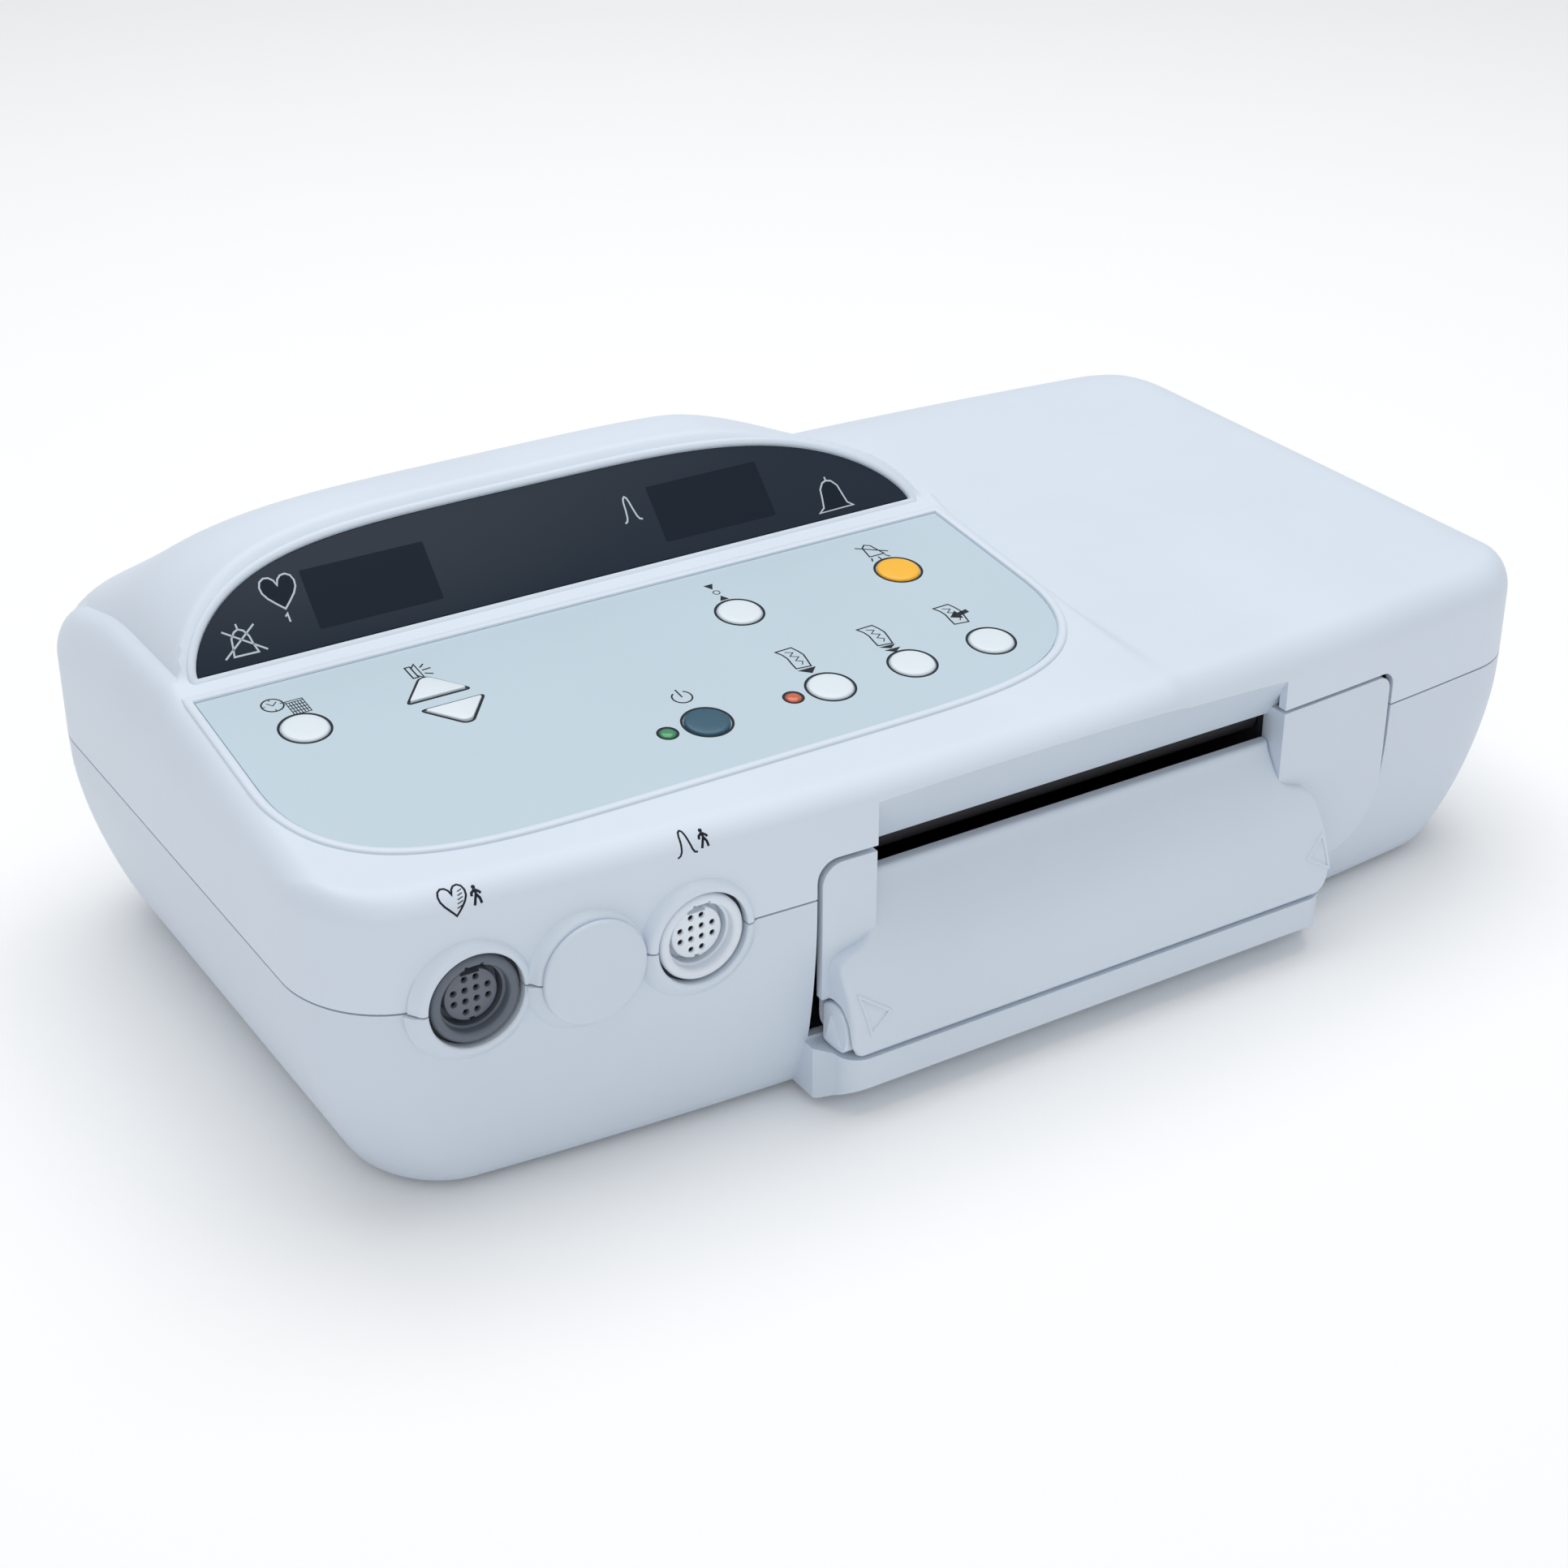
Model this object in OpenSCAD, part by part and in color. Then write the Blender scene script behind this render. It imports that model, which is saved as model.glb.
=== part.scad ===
// Desktop fetal monitor with a raised display console and a strip chart recorder drawer.
// Millimetres. +X is the long side, the front faces -Y, +Z is up.
// The rubber feet stand on z = 0 and the outer box is centred in X and Y.

/* [Case] */
// Width of the case
case_w = 445; // [430:1:460]
// Front wall distance from the middle of the case
front_y = 125.8; // [122:0.1:132]
// Rear wall distance from the middle of the case
rear_y = 127.3; // [122:0.1:134]
// Bow of the front wall in plan
front_bow = 12.8; // [6:0.1:16]
// Bow of the rear wall in plan
rear_bow = 14.4; // [6:0.1:18]
// Corner length along the front
corner_x = 27; // [20:1:32]
// Corner length along the side
corner_y = 30; // [22:0.5:36]
// Height of the parting line above the table
part_z = 72; // [66:1:80]
// Height of the flat lid above the parting line
lid_h = 34; // [30:0.5:38]
// Rounding of the lid edges
lid_round = 12; // [8:0.5:14]
// Wall of the upper case, measured straight down
top_wall = 3.2; // [2.8:0.1:3.4]
// Wall of the lower case
base_wall = 2.6; // [2.2:0.1:3]
// Gap that shows between the two halves
part_gap = 0.6; // [0.3:0.1:0.9]

/* [Console] */
// Margin of the case beside the console's left flank
console_side = 6.5; // [4:0.5:9]
// Half width of the console's display face
console_hw = 131; // [128:0.5:132]
// Width of the sloped right flank
flank_w = 6; // [4:0.5:9]
// Slope of the keypad deck in degrees
deck_tilt = 7; // [5:0.5:8]
// Height of the deck at its middle, above the parting line
deck_h = 42; // [40:0.5:43]
// Slope of the display face in degrees
face_tilt = 46; // [42:0.5:50]
// Rise of the strip between the keypad and the display face
strip_rise = 3.1; // [1.5:0.1:5]
// Length of the display face along its slope
face_len = 40; // [37:0.5:42]
// Height of the ridges round keypad and lens
ridge_h = 1.2; // [0.6:0.1:1.6]

/* [Keypad] */
// Half width of the keypad sheet
pad_hw = 131.5; // [130:0.5:133]
// Length of the keypad sheet down the deck
pad_len = 98; // [95:0.5:100]
// Thickness of the keypad sheet
pad_t = 0.5; // [0.4:0.1:0.8]
// Radius of a round key
key_r = 7; // [5.5:0.1:7.6]
// Height of a key above the sheet
key_proud = 0.7; // [0.4:0.1:1.2]
// Travel of a key
key_travel = 1; // [0.6:0.1:1.2]
// Play round a key
key_play = 0.3; // [0.2:0.05:0.5]
// Distance of the sheet's lower edge from the front wall
pad_margin = 26.53; // [22:0.01:30]
// Distance of the upper key row down the deck
row_one = 25.7; // [24:0.1:28]
// Distance of the lower key row down the deck
row_two = 74.5; // [70:0.1:77]
// Radius of an indicator lamp
lamp_r = 2.6; // [2:0.1:3]

/* [Display] */
// Half width of the lens
lens_hw = 125.5; // [122:0.5:126.5]
// Height of the lens along the face
lens_len = 34.5; // [32:0.5:35.5]
// Thickness of the lens
lens_t = 1.6; // [1.4:0.1:2]
// Width of a digit window
digit_w = 41; // [36:0.5:44]
// Height of a digit window
digit_h = 19.4; // [16:0.1:21]

/* [Sockets] */
// Distance of the ultrasound socket from the case's left end
socket_side = 41.5; // [39:0.5:46]
// Distance between socket middles
socket_pitch = 34.3; // [34:0.1:36]
// Radius of the boss round a socket
boss_r = 16.6; // [15.5:0.1:17]
// Radius of a socket's flange ring
flange_r = 13.6; // [12.5:0.1:14]
// Radius of a socket's mouth
mouth_r = 10.4; // [9:0.1:11]
// Depth of a socket's mouth
mouth_d = 3; // [2:0.1:4]
// Radius of the island that holds the contacts
island_r = 8.1; // [7.8:0.1:8.4]
// Radius of a contact hole
contact_r = 0.9; // [0.6:0.05:1.1]

/* [Recorder] */
// Width of the chart paper
paper_w = 152; // [148:1:153]
// Depth of a folded paper pack
paper_d = 90; // [80:1:95]
// Distance of the recorder bay from the case's left end
bay_side = 148.5; // [146:0.5:152]
// Width of the drawer's left shoulder
left_shoulder = 20.5; // [18:0.5:23]
// Width of the drawer's right shoulder
right_shoulder = 49; // [45:0.5:53]
// Play between the paper and the slot's ends
paper_play = 2; // [1:0.1:2.5]
// Travel of a squeeze latch
latch_travel = 3; // [2:0.5:3.5]
// Radius of the platen roller
roller_r = 7; // [5:0.5:7.5]

/* [Hidden] */
$fn = 48;

// Colours as the photograph shows them
shell_tone = [0.86, 0.90, 0.95];
base_tone = [0.78, 0.82, 0.88];
key_tone = [0.93, 0.96, 0.97];
board_tone = [0.10, 0.36, 0.22];
steel_tone = [0.72, 0.73, 0.75];
dark_tone = [0.14, 0.16, 0.20];

// Case plan
hw = case_w / 2;
front_reach = 12.4;
mid_y = (front_y + front_reach - rear_y) / 2;

// Console surfaces: the flanks stand outside the wider of display face and keypad sheet
console_reach = max(console_hw + 5, pad_hw + 4.5);
console_x = -hw + console_side + console_reach;
console_left = console_x - console_hw;
console_end = console_x + console_hw;
console_right = console_x + console_reach;
pad_left = console_x - pad_hw;
pad_right = console_x + pad_hw;
pad_top_y = -front_y + pad_margin + pad_len * cos(deck_tilt);
deck_mid_y = pad_top_y - 48;
face_y = pad_top_y + 9;
face_h = deck_z(pad_top_y) + strip_rise;
face_rise = face_len * sin(face_tilt);
crest_start = face_y + 38;
crest_end = rear_y - 3.3;
crest_bend = 24;
rear_round = 22;
wall_top_lid = lid_h - lid_round;
wall_top_console = wall_top_lid + 5;
side_round = 10;
lid_side_round = 17;
key_flange = 1.4;
board_t = 1.6;

// Arch of the display face, 0 at its ends and 1 along its middle
function arch(s) = abs(s) >= 1 ? 0 :
    (s > 0 ? pow(1 - pow(s, 3.6), 0.67) : pow(1 - pow(-s, 4.8), 0.66));

// Share of the console at a place along X, 1 on the console and 0 on the lid
function console_share(x) = max(0, min(1, (console_right + flank_w - x) / flank_w));

// Height of the deck and of the console above the parting line
function deck_z(y) = deck_h + tan(deck_tilt) * (y - deck_mid_y);
function strip_z(y) = deck_z(pad_top_y) + strip_rise * (y - pad_top_y) / (face_y - pad_top_y);
function crest_z(x) = face_h + (face_rise + 1) * arch((x - console_x) / console_hw);
function crest_drop(y) = y < crest_start ? 0 : (y < crest_start + crest_bend ?
    pow(y - crest_start, 2) / (2 * crest_bend) : y - crest_start - crest_bend / 2);
function crest_share(y) = max(0, 1 - crest_drop(y) / crest_drop(crest_end));

// The hump's right shoulder falls away towards the rear
function clamp(t) = max(0, min(1, t));
function ease(t) = let (s = clamp(t)) s * s * (3 - 2 * s);
function shoulder_share(x, y) = 1 - 0.42 * ease((x - console_x - 60) / 68) * clamp((y - face_y - 13) / 50);
function hump_z(x, y) = min(
    face_h + (y - face_y) * tan(face_tilt),
    lid_h + (crest_z(x) - lid_h) * crest_share(y) * shoulder_share(x, y)
);
function console_z(x, y) = y < pad_top_y ? deck_z(y) : (y < face_y ? strip_z(y) : hump_z(x, y));
function top_z(x, y) = lid_h + (console_z(x, y) - lid_h) * console_share(x);

// Corner share, 0 on the straight and 1 at the end of the case
function corner(x, w) = 1 - sqrt(max(0, 1 - pow(max(0, abs(x) - (w - corner_x)) / corner_x, 2)));
function plan_front(x, w, d) = -d + front_bow * pow(x / w, 2) + corner_y * corner(x, w);
function plan_rear(x, w, d) = d - rear_bow * pow(x / w, 2) - corner_y * corner(x, w);

// Roundness, 0 on the wall and 1 where the rounding ends
function roundness(d, r) = d >= r ? 1 : sqrt(max(0, 1 - pow(1 - d / r, 2)));

// Places along X where the case is cut into sections
function stations(w) = concat(
    [for (a = [0 : 15 : 75]) -w + corner_x * (1 - cos(a))],
    [for (i = [0 : 12]) -w + corner_x + i * (console_x + 100 + w - corner_x) / 12],
    [for (a = [58 : 8 : 90]) console_x + console_hw * sin(a)],
    [console_right, console_right + flank_w * 0.5, console_right + flank_w, console_right + flank_w + 2],
    [for (i = [1 : 5]) console_right + flank_w + 2 + i * (w - corner_x - console_right - flank_w - 2) / 6],
    [for (a = [90 : -15 : 0]) w - corner_x * (1 - cos(a))]
);

// One section of the upper case at x, drawn in by t all round
function section(x, t, w, low) =
    let (
        c = console_share(x),
        yf = plan_front(x, w, front_y - t),
        yb = plan_rear(x, w, rear_y - t),
        zw = wall_top_lid + (wall_top_console - wall_top_lid) * c,
        fx = roundness(w - abs(x), side_round + (lid_side_round - side_round) * (1 - c)),
        rf = lid_round - 3 * c,
        rb = rear_round,
        yt = face_y + max(3, (face_rise + 1) / tan(face_tilt) * arch((x - console_x) / console_hw)),
        front = [for (a = [0 : 18 : 90]) [yf + rf * (1 - cos(a)), sin(a)]],
        crest = [2, 7, 13, 19, 25, 42],
        middle = [
            for (y = [deck_mid_y, pad_top_y, face_y, yt]) [y, 1],
            for (k = [0 : 5]) [min(crest_start + crest[k], yb - rb - 0.6 * (6 - k)), 1]
        ],
        rear = [for (a = [90 : -15 : 0]) [yb - rb * (1 - cos(a)), sin(a)]],
        line = concat(front, middle, rear)
    )
    concat(
        [[x, yf, low]],
        [for (p = line) [x, p[0], zw + (top_z(x, p[0]) - zw) * fx * p[1] - t]],
        [[x, yb, low]]
    );

// Closed solid through a row of sections
module loft(rows) {
    n = len(rows[0]);
    m = len(rows);
    walls = [
        for (i = [0 : m - 2], k = [0 : n - 1])
            let (a = i * n + k, b = i * n + (k + 1) % n)
            each [[a, b, b + n], [a, b + n, a + n]]
    ];
    polyhedron(
        points = [for (r = rows) each r],
        faces = concat([[for (k = [n - 1 : -1 : 0]) k]], walls, [[for (k = [0 : n - 1]) (m - 1) * n + k]])
    );
}

// Upper case form, drawn in by t, down to the height low
module top_form(t, low) {
    w = hw - t;
    loft([for (x = stations(w)) section(x, t, w, low)]);
}

// Plan outline at one height, drawn in by side and front insets
function outline(z, side, front) =
    let (w = hw, xs = stations(w), kx = (w - side) / w)
    concat(
        [for (x = xs) [x * kx, plan_rear(x, w, rear_y) * (rear_y - front) / rear_y, z]],
        [for (i = [len(xs) - 1 : -1 : 0])
            [xs[i] * kx, plan_front(xs[i], w, front_y) * (front_y - front) / front_y, z]]
    );

// Lower case levels: depth below the parting line, side inset, front inset
base_levels = [
    [1, 22.5, 14], [0.985, 20, 11.6], [0.95, 18, 9.8], [0.89, 15.8, 8.2], [0.83, 13.6, 6.8],
    [0.69, 9.6, 4.4], [0.52, 5.6, 2.4], [0.34, 2.4, 1], [0.17, 0.5, 0.2]
];
tongue_h = 2;
tongue_gap = 0.7;
tongue_in = top_wall + tongue_gap;

module base_form() {
    loft(concat(
        [for (l = base_levels) outline(-base_depth * l[0], l[1], l[2])],
        [outline(-part_gap / 2, 0, 0)],
        [outline(-part_gap / 2, tongue_in, tongue_in)],
        [outline(tongue_h, tongue_in, tongue_in)]
    ));
}

module base_hollow() {
    t = base_wall;
    loft(concat(
        [for (l = [for (i = [1 : 2 : 8]) base_levels[i]])
            outline(-(base_depth - t) * l[0], l[1] + t, l[2] + t)],
        [outline(-8, t, t)],
        [outline(-4, tongue_in + 1.4, tongue_in + 1.4)],
        [outline(tongue_h + 1, tongue_in + 1.4, tongue_in + 1.4)]
    ));
}

// Frames of reference
module case_frame() {
    translate([0, mid_y, part_z]) children();
}

module deck_frame() {
    translate([0, pad_top_y, deck_z(pad_top_y)]) rotate([deck_tilt, 0, 0]) children();
}

module face_frame() {
    translate([console_x, face_y, face_h]) rotate([face_tilt, 0, 0]) children();
}

module front_frame(x, y) {
    translate([x, y, 0]) rotate([90, 0, 0]) children();
}

// Lens outline: straight lower edge, arched upper edge
module arch_shape(w, h, low) {
    polygon(concat(
        [[-w, -low]],
        [for (a = [0 : 6 : 180]) [-w * cos(a), h * arch(-cos(a) * 0.9999)]],
        [[w, -low]]
    ));
}

// Keypad outline: straight upper edge, rounded lower corners
module pad_shape(w, h, up) {
    bend = h * 0.51;
    translate([console_x, 0])
        polygon(concat(
            [[w - 1, up], [-w + 1, up], [-w, -bend]],
            [for (a = [10 : 10 : 170])
                [-w * cos(a), -bend - (h - bend) * pow(1 - pow(abs(cos(a)), 6), 0.458)]],
            [[w, -bend]]
        ));
}

// Keys: the left two keep their place from the sheet's left end, the others from its right end
clock_at = [pad_left + 24.1, -row_one];
reference_at = [pad_right - 92.5, -row_one];
alarm_at = [pad_right - 32.8, -row_one];
power_at = [pad_right - 133.1, -row_two];
record_at = [pad_right - 90, -row_two];
speed_at = [pad_right - 60.2, -row_two];
mark_at = [pad_right - 30.6, -row_two];
round_keys = [clock_at, reference_at, alarm_at, power_at, record_at, speed_at, mark_at];
volume_at = [pad_left + 66.9, -row_one - 4.3];
power_lamp_at = power_at - [13.4, 0];
record_lamp_at = record_at - [13.2, 0];

// Triangle of a volume key, dir is 1 for up and -1 for down
module volume_shape(dir, grow) {
    w = 9.4 + grow * 1.7;
    low = 2.9 - grow;
    high = 12.6 + grow * 1.4;
    shift = dir > 0 ? -1 : 1;
    tip = 1.4;
    polygon([
        [-w + shift, dir * low], [w + shift, dir * low],
        [tip + shift, dir * high], [-tip + shift, dir * high]
    ]);
}

module key_holes(grow) {
    for (p = round_keys) translate(p) circle(r = key_r + grow);
    for (dir = [-1, 1]) translate(volume_at) volume_shape(dir, grow);
}

lamp_places = [power_lamp_at, record_lamp_at];
deck_in = top_wall;

// Sockets
function wall_y(x) = plan_front(x, hw, front_y);
socket_x = [for (i = [0 : 2]) -hw + socket_side + i * socket_pitch];
boss_proud = 2.6;
function boss_y(i) = wall_y(socket_x[i]) - boss_proud;
boss_depth = 8;
flange_sunk = 1;
flange_t = 2.4;
shank_r = mouth_r + 1.6;
shank_len = 16;
nut_t = 3;
nut_r = shank_r + 3.4;

module bosses(upper) {
    intersection() {
        union() {
            for (i = [0 : 2]) front_frame(socket_x[i], boss_y(i) + boss_depth)
                cylinder(h = boss_depth, r = boss_r);
        }
        translate([-hw, -front_y * 1.5, upper ? part_gap / 2 : -boss_r * 2])
            cube([hw * 1.2, front_y, boss_r * 2 - part_gap / 2]);
    }
}

// Room for the upper half bosses, which reach past the tongue of the lower case
module boss_rooms() {
    for (i = [0 : 2]) intersection() {
        front_frame(socket_x[i], boss_y(i) + boss_depth + boss_room)
            cylinder(h = boss_depth, r = boss_r + boss_room);
        translate([-hw, -front_y * 1.5, -part_gap / 2]) cube([case_w, front_y * 1.5, boss_r * 2]);
    }
}
boss_room = 0.4;
bore_play = 0.3;

module socket_cuts() {
    for (i = [0, 2]) {
        front_frame(socket_x[i], boss_y(i) + boss_depth + 8)
            cylinder(h = boss_depth + 10, r = shank_r + bore_play);
        front_frame(socket_x[i], boss_y(i) + flange_sunk + flange_t)
            cylinder(h = 8, r = flange_r + bore_play);
        front_frame(socket_x[i], boss_y(i) + boss_depth + 8) cylinder(h = 8, r = nut_r + boss_room);
    }
    front_frame(socket_x[1], boss_y(1) + boss_depth + 8)
        cylinder(h = boss_depth + 10, r = cap_plug_r + bore_play);
}

// Recorder bay
far_front = front_y * 1.6;
base_depth = part_z - 2;
bay_left = -hw + bay_side;
slot_left = bay_left + left_shoulder;
slot_right = slot_left + paper_w + 2 * paper_play;
bay_right = slot_right + right_shoulder;
bay_low = -base_depth + 20;
bay_top = 12.5;
bay_round = 7;
lip_proud = front_reach - 1;
slot_back_y = -front_y + 10.8;
slot_top = 8.5;
recess_top = lid_h - 6.5;
recess_in = 0.1;
recess_wall = 2.4;
panel_top = 2.4;
panel_y = slot_back_y - 1;
drawer_gap = 0.7;

// Outline of the bay in the front wall, drawn in by g
module bay_shape(g) {
    left = bay_left + g;
    right = bay_right - g;
    top = bay_top - g;
    low = bay_low + g;
    polygon(concat(
        [[left, low], [right - 24, low]],
        [for (a = [-75 : 15 : 0]) [right - 24 + 24 * cos(a), low + 24 + 24 * sin(a)]],
        [for (a = [0 : 22.5 : 90]) [right - 5 + 5 * cos(a), top - 5 + 5 * sin(a)]],
        [for (a = [90 : 18 : 180])
            [left + bay_round + bay_round * cos(a), top - bay_round + bay_round * sin(a)]]
    ));
}

module through_front(depth, from) {
    translate([0, from, 0]) rotate([90, 0, 0]) linear_extrude(depth) children();
}

// Leaning wall over the paper slot, from the front face down to the slot's upper edge
module recess() {
    back = slot_back_y + recess_wall;
    translate([slot_left - recess_wall, 0, 0]) rotate([90, 0, 90])
        linear_extrude(slot_right - slot_left + 2 * recess_wall) polygon([
            [-front_y + 1.2, recess_top], [slot_back_y, slot_top], [back, slot_top],
            [back, slot_top + 4], [-front_y + 5, recess_top + 1.5]
        ]);
}

// Screw posts that join the halves
post_side = 42.5;
post_rear_y = rear_y - 47.3;
post_xy = [
    [-hw + post_side, -front_y + 51.8], [-hw + post_side, post_rear_y],
    [hw - post_side, -front_y + 35.8], [hw - post_side, post_rear_y]
];
post_r = 5;
screw_r = 1.5;
screw_head_r = 2.8;
screw_head_h = 2;
screw_len = 12;
screw_seat = -5;
well_r = screw_head_r + 0.4;

module top_case() {
    color(shell_tone) case_frame() {
        difference() {
            union() {
                difference() {
                    union() {
                        top_form(0, part_gap / 2);
                        deck_frame() translate([0, 0, -1]) linear_extrude(1 + ridge_h) difference() {
                            pad_shape(pad_hw + rim_w, pad_len + rim_w, rim_w);
                            pad_shape(pad_hw + sheet_gap, pad_len + sheet_gap, sheet_gap);
                        }
                        face_frame() translate([0, 0, -1]) linear_extrude(1 + ridge_h) difference() {
                            arch_shape(lens_hw + rim_w, lens_len + rim_w, rim_w);
                            arch_shape(lens_hw + sheet_gap, lens_len + sheet_gap, sheet_gap);
                        }
                    }
                    top_form(top_wall, -5);
                }
                bosses(true);
            }
            deck_frame() translate([0, 0, -pad_t]) linear_extrude(pad_t + 4)
                pad_shape(pad_hw + sheet_gap, pad_len + sheet_gap, sheet_gap);
            deck_frame() translate([0, 0, -deck_in - 3]) linear_extrude(deck_in + 4) key_holes(key_play);
            deck_frame() translate([0, 0, -deck_in - 3]) linear_extrude(deck_in + 4)
                for (p = lamp_places) translate(p) circle(r = lamp_r + lamp_play);
            face_frame() translate([0, 0, lens_seat]) linear_extrude(6)
                arch_shape(lens_hw + sheet_gap, lens_len + sheet_gap, sheet_gap);
            face_frame() translate([0, window_low, -8]) linear_extrude(10)
                arch_shape(lens_hw - 8, lens_len - window_low - window_high, 0);
            socket_cuts();
            intersection() {
                through_front(60, -80) bay_shape(0);
                translate([-hw, -far_front, -5]) cube([case_w, far_front, bay_top + 30]);
            }
            translate([slot_left, 0, 0]) rotate([90, 0, 90]) linear_extrude(slot_right - slot_left)
                polygon([
                    [-front_y - 1, recess_top + 4], [slot_back_y, slot_top],
                    [slot_back_y, -1], [-front_y - 1, -1]
                ]);
        }
        intersection() {
            recess();
            top_form(recess_in, 0);
        }
        deck_posts();
        face_posts();
        screw_posts(true);
    }
}

// Rims, lens seat and the window behind the lens
rim_w = 3;
sheet_gap = 0.3;
lamp_play = 0.2;
lens_proud = 0.2;
lens_seat = lens_proud - lens_t;
window_low = 3;
window_high = 4;

// Posts under the deck that carry the keypad board
pad_board = [pad_left + 13.5, pad_right - 17.5, row_one - 13.7, row_two + 13.5];
pad_step_x = pad_left + 83.5;
pad_step_v = row_one + 28.3;
post_in = 5;
deck_post_xy = [
    [pad_board[0] + post_in, -pad_step_v + post_in], [pad_step_x + post_in, -pad_board[3] + post_in],
    [pad_board[1] - post_in, -pad_board[3] + post_in], [pad_board[0] + 2.8, -pad_board[2] - 2.8],
    [console_x - 25, -pad_board[2] - post_in], [pad_board[1] - post_in, -pad_board[2] - post_in]
];
pad_board_z = -deck_in - key_flange - 0.3 - key_travel - 3.4;

module deck_posts() {
    deck_frame() for (p = deck_post_xy)
        translate([p[0], p[1], pad_board_z]) cylinder(h = -pad_board_z - deck_in + 0.8, r = 2.6);
}

// Posts at the window's edges that carry the display board
digit_gap = 0.4;
digit_deep = 8;
face_board_z = lens_seat - digit_gap - digit_deep;
face_post_xy = [
    [-console_hw + 27, window_low + 1], [-20, lens_len - window_high + 0.5], [console_hw - 43, window_low + 1]
];

module face_posts() {
    face_frame() for (p = face_post_xy)
        translate([p[0], p[1], face_board_z]) cylinder(h = lens_seat - 0.1 - face_board_z, r = 2.4);
}

module screw_posts(upper) {
    for (p = post_xy) translate([p[0], p[1], 0]) {
        if (upper)
            translate([0, 0, 1]) difference() {
                cylinder(h = top_z(p[0], p[1]) - top_wall, r = post_r);
                translate([0, 0, -1]) cylinder(h = screw_len + 2, r = screw_r + 0.05);
            }
        else
            translate([0, 0, -base_depth + 1]) difference() {
                cylinder(h = base_depth - 0.1, r = post_r);
                translate([0, 0, -2]) cylinder(h = base_depth + screw_seat + 1, r = well_r);
                cylinder(h = base_depth + 1, r = screw_r + 0.2);
            }
    }
}

// Lip of the lower case under the drawer's roll
lip_top = bay_low - 1.5;
lip_low = bay_low - 12;
lip_left = bay_left + 3;
lip_right = slot_right + 12.5;

module lip() {
    intersection() {
        translate([lip_left, 0, 0]) rotate([90, 0, 90]) linear_extrude(lip_right - lip_left)
            polygon([[-wall_lip, lip_top], [-wall_lip, lip_low], [-front_y + 1, -base_depth + 1],
                [-front_y + 22, -base_depth + 1], [-front_y + 22, lip_top]]);
        translate([0, 0, -base_depth]) linear_extrude(base_depth)
            polygon(concat(
                [for (a = [0 : 15 : 90]) [lip_left + 8 - 8 * sin(a), -wall_lip + 8 - 8 * cos(a)]],
                [
                    [lip_left - 4, -front_y + 2], [lip_left - 4, -front_y + 36],
                    [lip_right + 4, -front_y + 36], [lip_right + 4, -front_y + 2]
                ],
                [for (a = [90 : -15 : 0]) [lip_right - 8 + 8 * sin(a), -wall_lip + 8 - 8 * cos(a)]]
            ));
    }
}
wall_lip = front_y + lip_proud;

inlet_x = -hw + 72.5;
inlet_z = -28;
inlet_w = 30;
inlet_h = 22;
inlet_rim = 8;
inlet_proud = 1.5;
inlet_gap = 0.4;
inlet_pad = inlet_w + 2 * inlet_rim + 4;
inlet_y = plan_rear(inlet_x + inlet_w / 2 + inlet_rim + 1, hw, rear_y) + 0.3;
foot_r = 8;
foot_sunk = 0.6;
foot_side = 57.5;
foot_xy = [for (x = [-hw + foot_side, hw - foot_side], y = [-front_y + 47.8, rear_y - 45.3]) [x, y]];

module base_case() {
    color(base_tone) case_frame() {
        difference() {
            union() {
                difference() {
                    union() {
                        base_form();
                        lip();
                        translate([inlet_x - inlet_pad / 2, inlet_y - 12, inlet_z - inlet_h / 2 - 5])
                            cube([inlet_pad, 12, inlet_h + 10]);
                    }
                    base_hollow();
                }
                bosses(false);
            }
            boss_rooms();
            socket_cuts();
            intersection() {
                through_front(70, -70) bay_shape(0);
                translate([-hw, -far_front, bay_low]) cube([case_w, far_front, -bay_low + bay_top]);
            }
            translate([inlet_x - inlet_w / 2 - inlet_gap, inlet_y - 30, inlet_z - inlet_h / 2 - inlet_gap])
                cube([inlet_w + 2 * inlet_gap, 60, inlet_h + 2 * inlet_gap]);
            for (p = post_xy) translate([p[0], p[1], -base_depth - 5]) cylinder(h = 20, r = well_r);
            for (p = foot_xy) translate([p[0], p[1], -base_depth - 1])
                cylinder(h = 1 + foot_sunk, r = foot_r + 0.2);
            speaker_holes();
        }
        screw_posts(false);
        frame_posts();
        board_posts();
    }
}

// Posts on the floor of the lower case
floor_z = -(base_depth - base_wall) * base_levels[1][0];
board_z = floor_z + 8.4;
board_box = [-hw + 158.5, rear_y - 115.3, hw - 56.5, rear_y - 35.3];

module frame_posts() {
    for (x = [bay_left + 10, slot_right + 18], y = [frame_front + 8, frame_back - 12])
        translate([x, y, floor_z - 0.5]) cylinder(h = frame_low - floor_z + 0.5, r = 3.5);
}

module board_posts() {
    for (x = [board_box[0] + 6, board_box[2] - 12], y = [board_box[1] + 6, board_box[3] - 8])
        translate([x, y, floor_z - 0.5]) cylinder(h = board_z - floor_z + 0.5, r = 3);
}

speaker_at = [-hw + 97.5, -front_y + 101.8];
speaker_r = 24;
magnet_h = 9;
hole_step = 7;

// Rings of one, six and twelve sound holes
module speaker_holes() {
    for (ring = [0 : 2], i = [0 : max(0, 6 * ring - 1)])
        let (turn = i * 60 / max(ring, 1), r = ring * hole_step)
            translate([speaker_at[0] + r * cos(turn), speaker_at[1] + r * sin(turn), -base_depth - 1])
                cylinder(h = 8, r = 1.5, $fn = 16);
}

module display_lens() {
    color(dark_tone) case_frame() face_frame()
        translate([0, 0, lens_seat]) linear_extrude(lens_t) arch_shape(lens_hw, lens_len, 0);
}

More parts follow.
